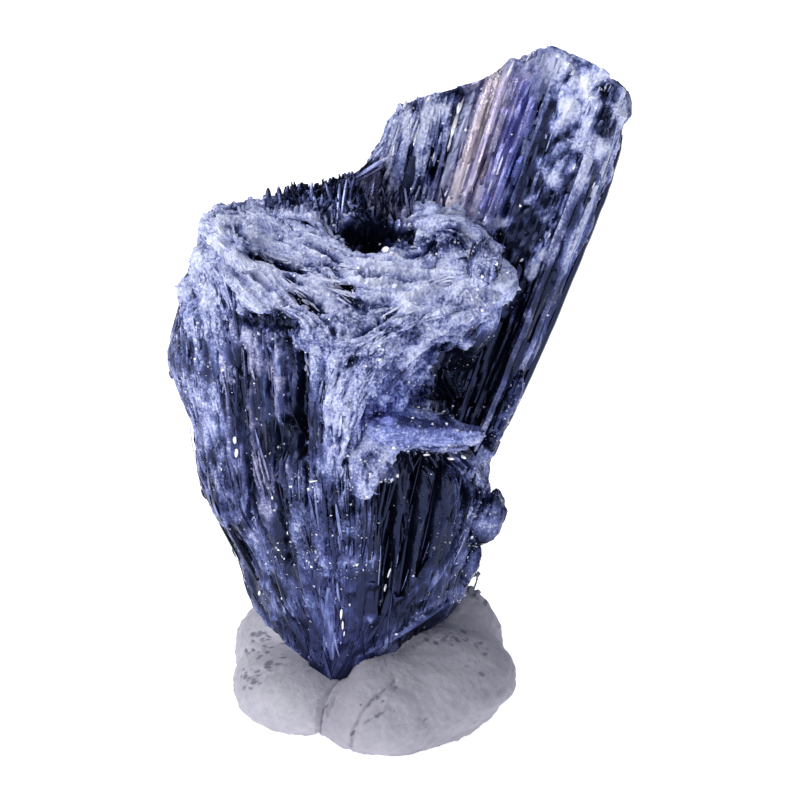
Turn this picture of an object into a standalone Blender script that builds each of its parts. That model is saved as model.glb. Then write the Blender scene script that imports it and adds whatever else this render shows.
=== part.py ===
"""A stibnite crystal cluster, stood on its pointed foot in a lump of white mineral putty.

Blender 4.5: blender --background --python part.py

The row frame is in metres, with +Z up and its origin on the underside of the putty, below the foot.
-Y is the front, where the crusted ridge of the cluster stands out. Sizes below are in millimetres.
"""

import math
import random

import bmesh
import bpy
import numpy as np
from mathutils import Vector
from mathutils.bvhtree import BVHTree

MM = 0.001

# ---- driving dimensions, in millimetres ---------------------------------------------------------

# The front spray is a loft through rails, which are the lines that its crystals grow along. Each rail
# starts at the foot and ends on the rim of the broken top. They go round from the left edge by the
# front to the back, and rail i faces rail -1 - i across the spray.
FRONT_RAILS = {
    "left edge": [(-3.3, -0.2, 2.2), (-8.2, 0.3, 7.1), (-9.9, 0.5, 12.4), (-12.5, 0.5, 16.6),
                  (-12.9, 0.5, 21.1), (-14.1, 0.5, 24.4), (-14.2, 0.5, 27.6), (-11.9, 1.0, 35.3)],
    "left face": [(-3.0, -2.0, 2.3), (-5.8, -3.2, 7.8), (-6.6, -4.0, 13.8), (-7.6, -4.6, 18.4),
                  (-7.8, -5.0, 23.0), (-8.1, -5.2, 26.3), (-8.3, -5.4, 29.5), (-8.1, -5.0, 32.6)],
    "ridge": [(-2.4, -3.4, 2.6), (-2.1, -5.0, 8.2), (-1.8, -6.6, 14.8), (-1.8, -7.6, 19.7),
              (-1.9, -8.2, 24.3), (-1.9, -8.6, 27.4), (-2.0, -8.9, 29.5), (-2.0, -8.8, 31.0)],
    "right front": [(-1.7, -2.8, 2.4), (2.0, -4.0, 8.1), (2.9, -4.6, 14.0), (3.3, -4.8, 18.6),
                    (2.1, -6.2, 23.6), (2.6, -6.9, 27.1), (4.1, -7.6, 30.2), (4.7, -7.2, 32.5)],
    "right edge": [(-1.3, -1.0, 2.2), (6.1, -0.8, 7.5), (7.6, -0.6, 12.4), (8.2, 0.0, 16.7),
                   (5.0, -2.6, 22.1), (4.4, -3.4, 25.3), (8.1, -4.4, 30.2), (9.8, -3.2, 33.2)],
    "right back": [(-1.4, 1.0, 2.0), (5.3, 3.4, 6.0), (6.8, 4.0, 10.6), (7.4, 4.4, 15.0),
                   (6.9, 4.2, 19.7), (6.9, 3.6, 22.9), (8.3, 2.0, 30.2), (8.3, 0.8, 36.3)],
    "back": [(-2.2, 2.0, 2.0), (0.5, 5.6, 5.2), (0.9, 6.4, 10.0), (0.9, 6.8, 14.1),
             (0.9, 6.8, 18.7), (0.9, 6.4, 22.3), (0.9, 5.0, 27.0), (1.3, 2.0, 37.2)],
    "left back": [(-3.0, 1.4, 2.1), (-6.0, 4.6, 5.5), (-7.3, 5.6, 10.3), (-9.3, 6.0, 14.4),
                  (-9.9, 6.2, 19.0), (-10.6, 6.2, 22.4), (-10.8, 5.8, 26.3), (-9.2, 3.2, 37.2)],
}

# The tall blade behind it has four long corners below its broken top.
BLADE_CORNERS = {
    "left front": [(-4.2, 0.8, 5.2), (-6.6, 2.6, 10.4), (-7.9, 3.2, 18.6), (-8.2, 3.6, 27.4),
                   (-7.8, 3.8, 33.3)],
    "right front": [(0.6, 0.4, 5.4), (5.4, 0.6, 11.2), (7.5, 0.4, 19.6), (10.8, 0.6, 28.3),
                    (14.2, 1.8, 37.2)],
    "right back": [(0.8, 2.2, 5.0), (6.4, 3.6, 10.0), (8.7, 3.4, 18.5), (12.5, 3.8, 27.1),
                   (16.2, 4.8, 36.4)],
    "left back": [(-3.8, 2.6, 4.8), (-6.5, 6.2, 8.9), (-7.7, 7.0, 17.1), (-8.0, 7.4, 26.1),
                  (-7.7, 7.6, 32.1)],
}
# Its broken top, from the left along the front and back along the rear.
BLADE_TOP = [(-7.4, 3.5, 37.6), (-1.6, 3.2, 38.7), (1.4, 3.6, 43.5), (4.0, 4.2, 44.4),
             (7.8, 4.8, 45.6), (12.0, 5.0, 47.7), (15.2, 4.2, 46.7), (16.9, 3.4, 45.6),
             (18.2, 5.6, 43.9), (16.0, 7.8, 45.1), (12.3, 8.8, 46.1), (8.2, 9.0, 43.6),
             (4.2, 8.6, 42.2), (1.4, 8.2, 40.2), (-1.9, 7.6, 36.1), (-7.1, 7.0, 35.7)]

FRONT_GRID = (28, 11)  # points round and along the front spray
BLADE_GRID = (28, 9)
CAP_STEPS = (0.72, 0.38)  # how far the rings of a cap are drawn in to the mid-line
CAP_END_DRAW = 0.15  # how much shorter the mid-line is than the cap

# Crystals standing out of the surfaces, as bands of: first and last place round the rails, how many,
# width, rise, where they start and where they end along the rails (0 at the foot, 1 at the rim).
FRONT_BANDS = [
    (0.15, 1.85, 10, 1.25, 0.50, (0.30, 0.42), (0.86, 0.96)),  # left face, upper
    (0.20, 1.90, 8, 1.40, 0.45, (0.16, 0.24), (0.46, 0.62)),  # left face, lower
    (2.15, 3.90, 9, 1.20, 0.45, (0.17, 0.24), (0.40, 0.52)),  # right face, below the ledge
    (2.25, 3.60, 6, 1.20, 0.40, (0.50, 0.56), (0.66, 0.78)),  # right face, below the lobe
    (6.30, 7.90, 6, 1.60, 0.45, (0.24, 0.34), (0.80, 0.96)),  # left rear
]
BLADE_BANDS = [
    (0.20, 3.00, 8, 1.25, 0.45, (0.62, 0.72), (0.90, 0.98)),  # left wing, front
    (3.20, 6.70, 8, 1.60, 0.40, (0.30, 0.60), (0.88, 0.98)),  # broad plates, front
    (7.15, 7.85, 3, 0.95, 0.45, (0.26, 0.34), (0.93, 0.99)),  # right side
    (8.30, 14.80, 10, 2.00, 0.50, (0.20, 0.45), (0.80, 0.98)),  # rear
]
CRYSTAL_SINK = 0.9  # how deep a crystal's root lies below the surface that it stands on
CRYSTAL_STATIONS = 3
# Its section, as places across its width and shares of its rise; None is at the root.
CRYSTAL_SECTION = [(-0.5, None), (-0.3, 1.0), (0.4, 0.7), (0.5, None)]
CRYSTAL_START = 0.15  # its rise at its start, as a share of that at its end
CRYSTAL_NARROW = 0.6  # its width at its start, in the same way
CRYSTAL_BREAK = (0.2, 0.5)  # least and most that its broken end zigzags, as shares of its width
CRYSTAL_WIDTHS = (0.75, 1.2)  # least and greatest width, as shares of the width stated for its band
CRYSTAL_RISES = (0.6, 1.25)
CRYSTAL_SHIFT = 0.25  # how far it may stand from its even place, as a share of the spacing
ROUGHNESS = 0.22  # how far the broken faces wander in and out
SMOOTH_FOOT = 0.2  # the share of a rail's length, from the foot, that doesn't wander

# Needles that lie over the crust of the top, as X and Y at both ends, width and rise.
ABOVE_ALL = 100.0  # a height over everything
NEEDLE_TAPER = [(0.0, 0.5), (0.5, 1.0), (1.0, 0.7)]  # places along one, and its size there
NEEDLES = [
    ((-10.4, 0.6), (-3.6, -4.4), 0.9, 0.45),
    ((-9.8, -2.6), (-5.0, -6.6), 0.9, 0.40),
    ((-7.6, 1.6), (-1.8, -2.6), 0.8, 0.45),
    ((-6.4, -2.8), (-2.4, -7.4), 1.0, 0.50),
    ((-4.0, 1.0), (-2.0, -1.6), 0.8, 0.40),
    ((-2.6, -6.0), (3.2, -3.0), 0.9, 0.45),
    ((-1.0, -7.4), (5.6, -4.6), 1.0, 0.45),
    ((0.2, -4.2), (4.2, -0.6), 0.8, 0.40),
]

# Knobs and spurs of crust, as centre and half sizes along X, Y and Z, then a turn about Y in degrees.
LUMPS = [
    ((8.2, -3.6, 34.6), (2.5, 2.4, 1.9), 0),  # right lobe
    ((5.2, -3.0, 36.3), (2.8, 2.6, 1.4), -10),  # lobe behind it
    ((5.2, -6.0, 32.2), (2.8, 1.9, 1.3), -12),  # brow over the right face
    ((1.4, -7.0, 31.4), (2.8, 1.8, 1.1), -6),
    ((-5.4, -5.6, 31.8), (3.0, 1.5, 0.9), 14),
    ((-9.6, -1.4, 35.0), (2.6, 2.0, 1.5), 18),  # left shoulder
    ((-1.4, -4.6, 33.6), (3.2, 2.2, 0.8), 8),
    ((3.6, 0.2, 36.9), (1.8, 1.5, 0.7), 0),
    ((-4.8, 0.4, 36.4), (2.6, 1.6, 0.8), 6),
    ((-2.0, -8.1, 26.4), (0.9, 0.9, 3.6), 0),  # pillar on the ridge
    ((1.2, -7.0, 23.6), (2.2, 1.5, 2.2), 0),  # root of the ledge
    ((4.4, -6.2, 23.3), (3.0, 1.3, 1.2), 4),  # the ledge
    ((6.8, -5.6, 23.0), (1.5, 0.9, 0.7), 8),
    ((-0.6, -8.0, 20.3), (1.1, 0.9, 2.2), 12),  # drip below the ledge
    ((8.4, -0.4, 15.2), (1.3, 1.0, 1.75), 10),  # knob on the right flank
    ((9.9, 1.6, 22.8), (0.6, 0.9, 2.4), 22),  # crust on the blade's edge
    ((16.9, 4.7, 43.7), (1.5, 1.3, 1.8), 0),  # right corner of the tip
    ((12.2, 5.6, 46.6), (2.2, 1.4, 1.2), -10),
    ((13.6, 3.4, 41.8), (1.6, 0.9, 2.4), 20),  # crust patch on the blade
    ((-11.4, -1.4, 29.6), (1.2, 1.6, 3.2), -4),
    ((-9.7, -2.2, 15.8), (1.3, 1.3, 2.4), -20),
    ((2.5, 7.2, 30.0), (2.6, 1.4, 3.4), 10),  # crust on the rear
    ((9.5, 8.0, 38.5), (2.2, 1.0, 2.6), 20),
]
LUMP_ROUGHNESS = 0.16
SMALL_LUMP = 1.7  # a lump whose half sizes are all below this is a plainer shape

# Pits, in the same way.
PITS = [
    ((-0.2, -0.8, 35.5), (1.4, 1.3, 1.9), 0),  # pocket in the top
    ((-4.6, -7.2, 25.2), (0.75, 1.9, 4.4), 0),  # slot in the left face
    ((5.4, -5.2, 27.6), (1.5, 1.5, 1.5), 0),  # hollow under the lobe
]

PUTTY_CENTRE = (0.0, 0.0, 3.2)
# The putty's thumbed lobes, as centre and half sizes along X, Y and Z.
PUTTY_LOBES = [
    ((3.1, -1.9, 3.2), (7.2, 6.4, 3.7)),  # large front right lobe
    ((1.2, -2.6, 2.2), (5.8, 6.9, 4.0)),  # its lower bulge
    ((-5.6, -2.0, 2.7), (4.6, 5.1, 3.5)),  # front left lobe
    ((-5.4, 2.0, 3.7), (4.5, 5.4, 4.3)),  # left shoulder
    ((5.0, 3.0, 4.0), (4.3, 4.5, 4.2)),  # right shoulder
    ((0.0, 4.2, 3.4), (6.6, 4.4, 4.2)),  # rear
]
PUTTY_GRID = (36, 16)
SOCKET_GAP = 0.35

STIBNITE_COLOUR = (0.13, 0.15, 0.30)
PUTTY_COLOUR = (0.62, 0.60, 0.68)
SEED = 7


# ---- shapes worked out with numpy ----------------------------------------------------------------

def catmull_rom(points, count, closed):
    """count points along a smooth line through points, whose first axis runs along the line."""
    spans = len(points) if closed else len(points) - 1
    at = np.linspace(0, spans, count, endpoint=not closed)
    start = np.minimum(at.astype(int), spans - 1)
    part = (at - start).reshape((-1,) + (1,) * (points.ndim - 1))
    index = start[:, None] + np.arange(-1, 3)
    index = index % len(points) if closed else np.clip(index, 0, len(points) - 1)
    a, b, c, d = (points[index[:, k]] for k in range(4))
    return 0.5 * (2 * b + (c - a) * part + (2 * a - 5 * b + 4 * c - d) * part**2
                  + (3 * b - a - 3 * c + d) * part**3)


def front_rails():
    return np.array(list(FRONT_RAILS.values()))


def blade_rails():
    """The blade's sixteen rails: its four corners, rails evenly between them, and the broken top."""
    corners = {name: np.array(rail) for name, rail in BLADE_CORNERS.items()}
    half = len(BLADE_TOP) // 2
    across = np.linspace(0, 1, half)[:, None, None]
    front = corners["left front"] * (1 - across) + corners["right front"] * across
    rear = corners["right back"] * (1 - across) + corners["left back"] * across
    below = np.concatenate([front, rear])
    return np.concatenate([below, np.array(BLADE_TOP)[:, None]], axis=1)


def skin(rails, grid):
    """Points of a loft through the rails, as an array of places round by places along by XYZ. They
    wander in and out by up to ROUGHNESS, more and more from the foot to the rim."""
    along = catmull_rom(np.swapaxes(rails, 0, 1), grid[1], closed=False)
    points = catmull_rom(np.swapaxes(along, 0, 1), grid[0], closed=True)
    wander = np.random.default_rng(SEED).uniform(-ROUGHNESS, ROUGHNESS, points.shape[:2])
    wander *= np.clip(np.linspace(0, 1, grid[1]) / SMOOTH_FOOT - 1, 0, 1)
    return points + outward(points) * wander[..., None]


def outward(points):
    """Unit normals of a skin."""
    round_step = np.roll(points, -1, axis=0) - np.roll(points, 1, axis=0)
    along_step = np.gradient(points, axis=1)
    normal = np.cross(round_step, along_step)
    return normal / np.linalg.norm(normal, axis=2, keepdims=True)


# ---- meshes ---------------------------------------------------------------------------------------

def new_object(name, verts, faces):
    """An object from points in millimetres, with its doubles merged and its faces pointing out."""
    mesh = bpy.data.meshes.new(name)
    mesh.from_pydata([Vector(v) * MM for v in verts], [], faces)
    made = bmesh.new()
    made.from_mesh(mesh)
    bmesh.ops.remove_doubles(made, verts=made.verts, dist=1e-6)
    bmesh.ops.dissolve_degenerate(made, edges=made.edges, dist=1e-7)
    bmesh.ops.triangulate(made, faces=made.faces)
    bmesh.ops.recalc_face_normals(made, faces=made.faces)
    made.to_mesh(mesh)
    made.free()
    obj = bpy.data.objects.new(name, mesh)
    bpy.context.scene.collection.objects.link(obj)
    return obj


def tube_faces(n_round, n_along):
    """Quads between the rings of a tube whose points run round each ring in turn."""
    return [(k * n_round + i, k * n_round + (i + 1) % n_round,
             (k + 1) * n_round + (i + 1) % n_round, (k + 1) * n_round + i)
            for k in range(n_along - 1) for i in range(n_round)]


def closed_loft(name, points):
    """A skin closed at the foot and the rim by rings drawn in to the line midway between the rails."""
    rings = [points[:, k] for k in range(points.shape[1])]

    def drawn_in(ring):
        middle = (ring + ring[::-1]) / 2
        centre = middle.mean(axis=0)
        return [centre + (middle - centre) * (1 - CAP_END_DRAW * (1 - s)) + (ring - middle) * s
                for s in (*CAP_STEPS, 0.0)]

    rings = drawn_in(rings[0])[::-1] + rings + drawn_in(rings[-1])
    verts = np.concatenate(rings)
    return new_object(name, verts, tube_faces(len(rings[0]), len(rings)))


def prism(stations, width, rise, rng):
    """A flat-faced crystal through stations of middle point, direction along, direction up, and how
    much of its width and of its rise it has there. Its end is broken."""
    verts = []
    for k, (middle, along, up, wide, high) in enumerate(stations):
        side = np.cross(up, along)
        side /= np.linalg.norm(side)
        broken = rng.uniform(*CRYSTAL_BREAK) * width if k == len(stations) - 1 else 0.0
        for place, (across, share) in enumerate(CRYSTAL_SECTION):
            height = -CRYSTAL_SINK if share is None else rise * share * high
            slip = broken * (-1) ** place
            verts.append(middle + side * across * width * wide + up * height + along * slip)
    sides = len(CRYSTAL_SECTION)
    faces = tube_faces(sides, len(stations))
    faces += [tuple(range(sides)), tuple(range(len(verts) - sides, len(verts)))]
    return new_object("crystal", verts, faces)


def crystals_in(bands, points, places, rng):
    """The crystals of each band, along a skin whose rails are numbered from 0 to places - 1."""
    n_round, n_along = points.shape[:2]
    normals = outward(points)
    made = []
    for first, last, count, width, rise, starts, ends in bands:
        for i in range(count):
            place = first + (last - first) * (i + rng.uniform(-CRYSTAL_SHIFT, CRYSTAL_SHIFT)) / (count - 1)
            column, share = divmod(place * n_round / places, 1)
            sides = int(column) % n_round, (int(column) + 1) % n_round
            stations = []
            for k, t in enumerate(np.linspace(rng.uniform(*starts), rng.uniform(*ends),
                                              CRYSTAL_STATIONS)):
                row, part = divmod(t * (n_along - 1), 1)
                row = int(row)
                middle, up = (
                    sum(field[side, row + step] * weight * (part if step else 1 - part)
                        for side, weight in zip(sides, (1 - share, share)) for step in (0, 1))
                    for field in (points, normals))
                along = points[sides[0], row + 1] - points[sides[0], row]
                grown = k / (CRYSTAL_STATIONS - 1)
                stations.append((middle, along / np.linalg.norm(along), up / np.linalg.norm(up),
                                 CRYSTAL_NARROW + (1 - CRYSTAL_NARROW) * grown,
                                 CRYSTAL_START + (1 - CRYSTAL_START) * grown))
            made.append(prism(stations, width * rng.uniform(*CRYSTAL_WIDTHS),
                              rise * rng.uniform(*CRYSTAL_RISES), rng))
    return made


def needles_on(body, rng):
    """Crystals that lie across the top of the body, dropped onto it from above."""
    tree = BVHTree.FromPolygons([v.co / MM for v in body.data.vertices],
                                [tuple(f.vertices) for f in body.data.polygons])
    made = []
    for first, last, width, rise in NEEDLES:
        stations = []
        for t, wide in NEEDLE_TAPER:
            x, y = (a + (b - a) * t for a, b in zip(first, last))
            hit = tree.ray_cast(Vector((x, y, ABOVE_ALL)), Vector((0, 0, -1)))
            stations.append((np.array(hit[0]), np.array(hit[1]), wide))
        along = stations[-1][0] - stations[0][0]
        along /= np.linalg.norm(along)
        made.append(prism([(middle, along, up, wide, wide) for middle, up, wide in stations],
                          width, rise, rng))
    return made


def lump(centre, half, turn, rng):
    """A rough knob: an icosphere stretched to its half sizes, turned about Y and pushed about."""
    made = bmesh.new()
    bmesh.ops.create_icosphere(made, subdivisions=1 if max(half) < SMALL_LUMP else 2, radius=1.0)
    verts = [v.co * (1 + rng.uniform(-LUMP_ROUGHNESS, LUMP_ROUGHNESS)) for v in made.verts]
    faces = [tuple(v.index for v in f.verts) for f in made.faces]
    made.free()
    c, s = math.cos(math.radians(turn)), math.sin(math.radians(turn))
    placed = []
    for v in verts:
        x, y, z = v.x * half[0], v.y * half[1], v.z * half[2]
        placed.append((centre[0] + x * c + z * s, centre[1] + y, centre[2] - x * s + z * c))
    return new_object("lump", placed, faces)


def fused(body, others, operation):
    """The body with a Boolean of all the others applied to it, and the others removed."""
    group = bpy.data.collections.new("tools")
    bpy.context.scene.collection.children.link(group)
    for obj in others:
        bpy.context.scene.collection.objects.unlink(obj)
        group.objects.link(obj)
    boolean = body.modifiers.new("fuse", "BOOLEAN")
    boolean.operation = operation
    boolean.operand_type = "COLLECTION"
    boolean.collection = group
    boolean.solver = "EXACT"
    graph = bpy.context.evaluated_depsgraph_get()
    mesh = bpy.data.meshes.new_from_object(body.evaluated_get(graph))
    body.modifiers.clear()
    body.data = mesh
    for obj in others:
        bpy.data.objects.remove(obj)
    bpy.data.collections.remove(group)
    return body


def without_bubbles(obj):
    """The object without the tiny closed bubbles left where crystals lean on each other."""
    made = bmesh.new()
    made.from_mesh(obj.data)
    shells, left = [], set(made.faces)
    while left:
        shell = edge = {left.pop()}
        while edge:
            edge = {f for face in edge for e in face.edges for f in e.link_faces} & left
            left -= edge
            shell = shell | edge
        shells.append(shell)
    shells.sort(key=len)
    loose = [face for shell in shells[:-1] for face in shell]
    bmesh.ops.delete(made, geom=loose, context="FACES")
    made.to_mesh(obj.data)
    made.free()
    return obj


def finished(obj, material, smooth_below=None):
    """The object with its material, shaded smooth over edges that turn less than smooth_below."""
    if smooth_below is None:
        obj.data.shade_flat()
    else:
        obj.data.shade_smooth()
        obj.data.set_sharp_from_angle(angle=smooth_below)
    obj.data.materials.clear()
    obj.data.materials.append(material)


def principled(name, colour, roughness, metallic):
    material = bpy.data.materials.new(name)
    material.use_nodes = True
    shader = material.node_tree.nodes["Principled BSDF"]
    shader.inputs["Base Color"].default_value = (*colour, 1.0)
    shader.inputs["Roughness"].default_value = roughness
    shader.inputs["Metallic"].default_value = metallic
    return material


# ---- the two pieces -------------------------------------------------------------------------------

def cluster(rng):
    """The front spray and the tall blade, grown into one solid with their crystals and crust."""
    front, blade = skin(front_rails(), FRONT_GRID), skin(blade_rails(), BLADE_GRID)
    body = closed_loft("stibnite_cluster", front)
    grown = [closed_loft("blade", blade)]
    grown += crystals_in(FRONT_BANDS, front, len(FRONT_RAILS), rng)
    grown += crystals_in(BLADE_BANDS, blade, len(BLADE_TOP), rng)
    grown += needles_on(body, rng)
    grown += [lump(*place, rng) for place in LUMPS]
    fused(body, grown, "UNION")
    return without_bubbles(fused(body, [lump(*place, rng) for place in PITS], "DIFFERENCE"))


def putty_reach(ways):
    """How far the putty goes from its centre along unit directions: the furthest of its lobes, cut off
    by the plane that it stands on. The reach of a lobe is the larger root of its ellipsoid equation."""
    reach = np.zeros(ways.shape[:-1])
    for centre, half in PUTTY_LOBES:
        way, off = ways / half, (np.array(PUTTY_CENTRE) - centre) / half
        a, b, c = (way**2).sum(-1), (way * off).sum(-1), (off**2).sum() - 1
        root = np.sqrt(np.maximum(b**2 - a * c, 0))
        reach = np.maximum(reach, np.where(b**2 > a * c, (root - b) / a, 0))
    down = np.minimum(ways[..., 2], -1e-6)
    return np.minimum(reach, np.where(ways[..., 2] < 0, -PUTTY_CENTRE[2] / down, np.inf))


def putty():
    """The lump of putty, thumbed up round the foot, with a socket that clears the cluster."""
    n_round, n_up = PUTTY_GRID
    turn = np.linspace(0, 2 * np.pi, n_round, endpoint=False)
    tilt = np.linspace(-0.5, 0.5, n_up) * np.pi
    turn, tilt = np.meshgrid(turn, tilt)
    ways = np.stack([np.cos(tilt) * np.cos(turn), np.cos(tilt) * np.sin(turn), np.sin(tilt)], -1)
    verts = (ways * putty_reach(ways)[..., None] + PUTTY_CENTRE).reshape(-1, 3)
    body = new_object("putty_base", verts, tube_faces(n_round, n_up))
    cutters = []
    for rails, grid in ((front_rails(), FRONT_GRID), (blade_rails(), BLADE_GRID)):
        points = skin(rails, grid)
        points = points + outward(points) * SOCKET_GAP
        points[:, 0, 2] -= SOCKET_GAP
        cutters.append(closed_loft("socket", points))
    return fused(body, cutters, "DIFFERENCE")


def main():
    for obj in list(bpy.data.objects):
        bpy.data.objects.remove(obj)
    rng = random.Random(SEED)
    finished(cluster(rng), principled("stibnite", STIBNITE_COLOUR, 0.35, 0.7))
    finished(putty(), principled("putty", PUTTY_COLOUR, 0.6, 0.0), math.radians(40))


main()
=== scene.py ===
import itertools
import math

import bpy
import numpy as np
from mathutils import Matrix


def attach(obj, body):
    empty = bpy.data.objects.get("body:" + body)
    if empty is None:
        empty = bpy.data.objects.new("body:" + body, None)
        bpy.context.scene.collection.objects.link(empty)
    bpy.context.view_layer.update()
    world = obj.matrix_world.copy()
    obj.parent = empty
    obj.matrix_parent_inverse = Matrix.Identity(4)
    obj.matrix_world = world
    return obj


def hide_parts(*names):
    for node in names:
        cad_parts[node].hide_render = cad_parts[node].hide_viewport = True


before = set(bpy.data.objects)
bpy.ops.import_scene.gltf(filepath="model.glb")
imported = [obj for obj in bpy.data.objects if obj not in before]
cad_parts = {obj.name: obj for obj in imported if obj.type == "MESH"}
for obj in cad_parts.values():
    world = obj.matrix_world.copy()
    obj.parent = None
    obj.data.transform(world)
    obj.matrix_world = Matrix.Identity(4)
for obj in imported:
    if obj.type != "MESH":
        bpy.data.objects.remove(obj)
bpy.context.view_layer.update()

mm = 0.001  # everything below is in millimetres until it goes into a mesh
print("frame loaded, nodes:", sorted(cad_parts))


# Even numbers from -1 to 1, one for each set of whole numbers: their bits are multiplied and folded
def scatter(cells, seed):
    low = 0xFFFFFFFF
    mixed = np.full(np.broadcast(*cells).shape, (seed * 2654435761 + 97) & low, np.uint64)
    for cell in cells:
        mixed = ((mixed ^ (cell.astype(np.int64).astype(np.uint64) & low)) * 2246822519) & low
        mixed = ((mixed ^ (mixed >> 15)) * 3266489917) & low
        mixed = mixed ^ (mixed >> 13)
    return mixed / 2.0**31 - 1


# Smooth noise from -1 to 1: the numbers at a cell's corners, blended by 6t^5 - 15t^4 + 10t^3
def softNoise(coords, seed, periods=None):
    coords = np.broadcast_arrays(*coords)
    cells = [np.floor(c) for c in coords]
    parts = [c - f for c, f in zip(coords, cells)]
    blends = [p**3 * (p * (p * 6 - 15) + 10) for p in parts]
    total = 0
    for corner in itertools.product((0, 1), repeat=len(coords)):
        index = [cell + step for cell, step in zip(cells, corner)]
        if periods:
            index = [i % p if p else i for i, p in zip(index, periods)]
        weight = 1
        for blend, step in zip(blends, corner):
            weight = weight * (blend if step else 1 - blend)
        total = total + weight * scatter(index, seed)
    return total


# The coordinates of points as arrays of their own, counted in cells of the given size
def inCells(points, size):
    return np.moveaxis(points / size, -1, 0)


# Layers of soft noise, each twice as fine and a little over half as strong as the one before
def layered(coords, layers, seed):
    return sum(softNoise([c * 2.0**k for c in coords], seed + k) * 0.55**k for k in range(layers))


# The same from sharp crests: each layer is 1 - 2|n|
def crested(coords, layers, seed):
    return sum((1 - 2 * abs(softNoise([c * 2.0**k for c in coords], seed + k))) * 0.55**k
               for k in range(layers))


# 0 up to low, 1 from high on and 3t^2 - 2t^3 between; low may be above high
def smoothStep(low, high, value):
    t = np.clip((value - low) / (high - low), 0, 1)
    return t * t * (3 - 2 * t)


# Vectors over their lengths
def unit(vectors):
    return vectors / np.maximum(np.linalg.norm(vectors, axis=-1, keepdims=True), 1e-12)


# Catmull-Rom: the smooth cubic through points, read at places counted in points along the first axis
def alongSpline(points, at, closed=False):
    spans = len(points) if closed else len(points) - 1
    start = np.clip(np.floor(at).astype(int), 0, spans - 1)
    part = (at - start).reshape((-1,) + (1,) * (points.ndim - 1))
    index = start[:, None] + np.arange(-1, 3)
    index = index % len(points) if closed else np.clip(index, 0, len(points) - 1)
    a, b, c, d = (points[index[:, k]] for k in range(4))
    return 0.5 * (2 * b + (c - a) * part + (2 * a - 5 * b + 4 * c - d) * part**2
                  + (3 * b - a - 3 * c + d) * part**3)


# Normals of a grid that closes round its first axis: the step round it times the step along it
def gridNormals(points):
    roundStep = np.roll(points, -1, axis=0) - np.roll(points, 1, axis=0)
    alongStep = np.gradient(points, axis=1)
    return unit(np.cross(roundStep, alongStep))


# Long flat-topped crystals side by side: the surface is cut into columns across and into lengths
# along, and each piece has its own height, its own lean across and its own tone
def laths(across, along, columns, lengths, seed, lean=0.6):
    across, along = np.broadcast_arrays(across, along)
    slow = max(int(columns // 9), 1)
    bent = across * columns + 0.9 * softNoise((across * slow, along * 3.0), seed, (slow, None))
    column = np.floor(bent)
    share = bent - column - 0.5
    column = column % columns
    stretch = 1 + 0.45 * scatter((column,), seed + 1)
    row = np.floor(along * lengths * stretch + 9 * scatter((column,), seed + 2) + share * 0.35)
    height = scatter((column, row), seed + 3)
    height = height + lean * 2 * share * scatter((column, row), seed + 4)
    return height, scatter((column, row), seed + 5)


# A mesh from points in millimetres and faces as arrays of corners, with numbers kept at its points
def newPiece(name, points, faces, marks, material, sharpAngle=None):
    corners = np.concatenate([f.ravel() for f in faces]).astype(np.int32)
    sizes = np.concatenate([np.full(len(f), f.shape[1]) for f in faces])
    mesh = bpy.data.meshes.new(name)
    mesh.vertices.add(len(points))
    mesh.vertices.foreach_set("co", (points * mm).astype(np.float32).ravel())
    mesh.loops.add(len(corners))
    mesh.loops.foreach_set("vertex_index", corners)
    mesh.polygons.add(len(sizes))
    mesh.polygons.foreach_set("loop_start", (np.cumsum(sizes) - sizes).astype(np.int32))
    mesh.update(calc_edges=True)
    for mark, values in marks.items():
        stored = mesh.attributes.new(mark, "FLOAT", "POINT")
        stored.data.foreach_set("value", np.broadcast_to(values, len(points)).astype(np.float32))
    if sharpAngle is None:
        mesh.shade_flat()
    else:
        mesh.shade_smooth()
        mesh.set_sharp_from_angle(angle=math.radians(sharpAngle))
    mesh.materials.append(material)
    piece = bpy.data.objects.new(name, mesh)
    bpy.context.scene.collection.objects.link(piece)
    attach(piece, "root")
    print(name, "triangles:", int((sizes - 2).sum()))
    return piece


# A piece of the crystal cluster
def clusterPiece(name, points, faces, marks, material, sharpAngle=None):
    piece = newPiece(name, points, faces, marks, material, sharpAngle)
    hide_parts("stibnite_cluster")


# A piece of the putty
def puttyPiece(name, points, faces, marks, sharpAngle):
    piece = newPiece(name, points, faces, marks, puttyMade, sharpAngle)
    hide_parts("putty_base")


# Faces of a grid that closes round its first axis; both end rows are folded flat onto themselves,
# point i onto its partner n - 1 - i, or pulled to one point
def tubeFaces(nAround, nAlong, ends="folded"):
    index = np.arange(nAround * nAlong).reshape(nAlong, nAround).T.copy()
    for row in (0, nAlong - 1):
        index[:, row] = np.minimum(index[:, row], index[::-1, row]) if ends == "folded" else index[0, row]
    after = np.roll(index, -1, axis=0)
    quads = np.stack([index[:, :-1], after[:, :-1], after[:, 1:], index[:, 1:]], -1).reshape(-1, 4)
    same = quads == np.roll(quads, -1, axis=1)
    whole = quads[~same.any(1)]
    folded = quads[same.sum(1) == 1]
    gone = same[same.sum(1) == 1].argmax(1)
    keep = (gone[:, None] + np.arange(1, 4)) % 4
    return whole, np.take_along_axis(folded, keep, 1)


# A grid's points in one list, ring after ring, as tubeFaces counts them
def gridPoints(points):
    return np.swapaxes(points, 0, 1).reshape(-1, *points.shape[2:])


# Only the points that faces use, renumbered
def withoutLoose(points, faces, marks):
    used, numbers = np.unique(np.concatenate([f.ravel() for f in faces]), return_inverse=True)
    split = np.cumsum([f.size for f in faces])[:-1]
    faces = [n.reshape(f.shape) for n, f in zip(np.split(numbers, split), faces)]
    return points[used], faces, {k: np.broadcast_to(v, len(points))[used] for k, v in marks.items()}


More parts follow.
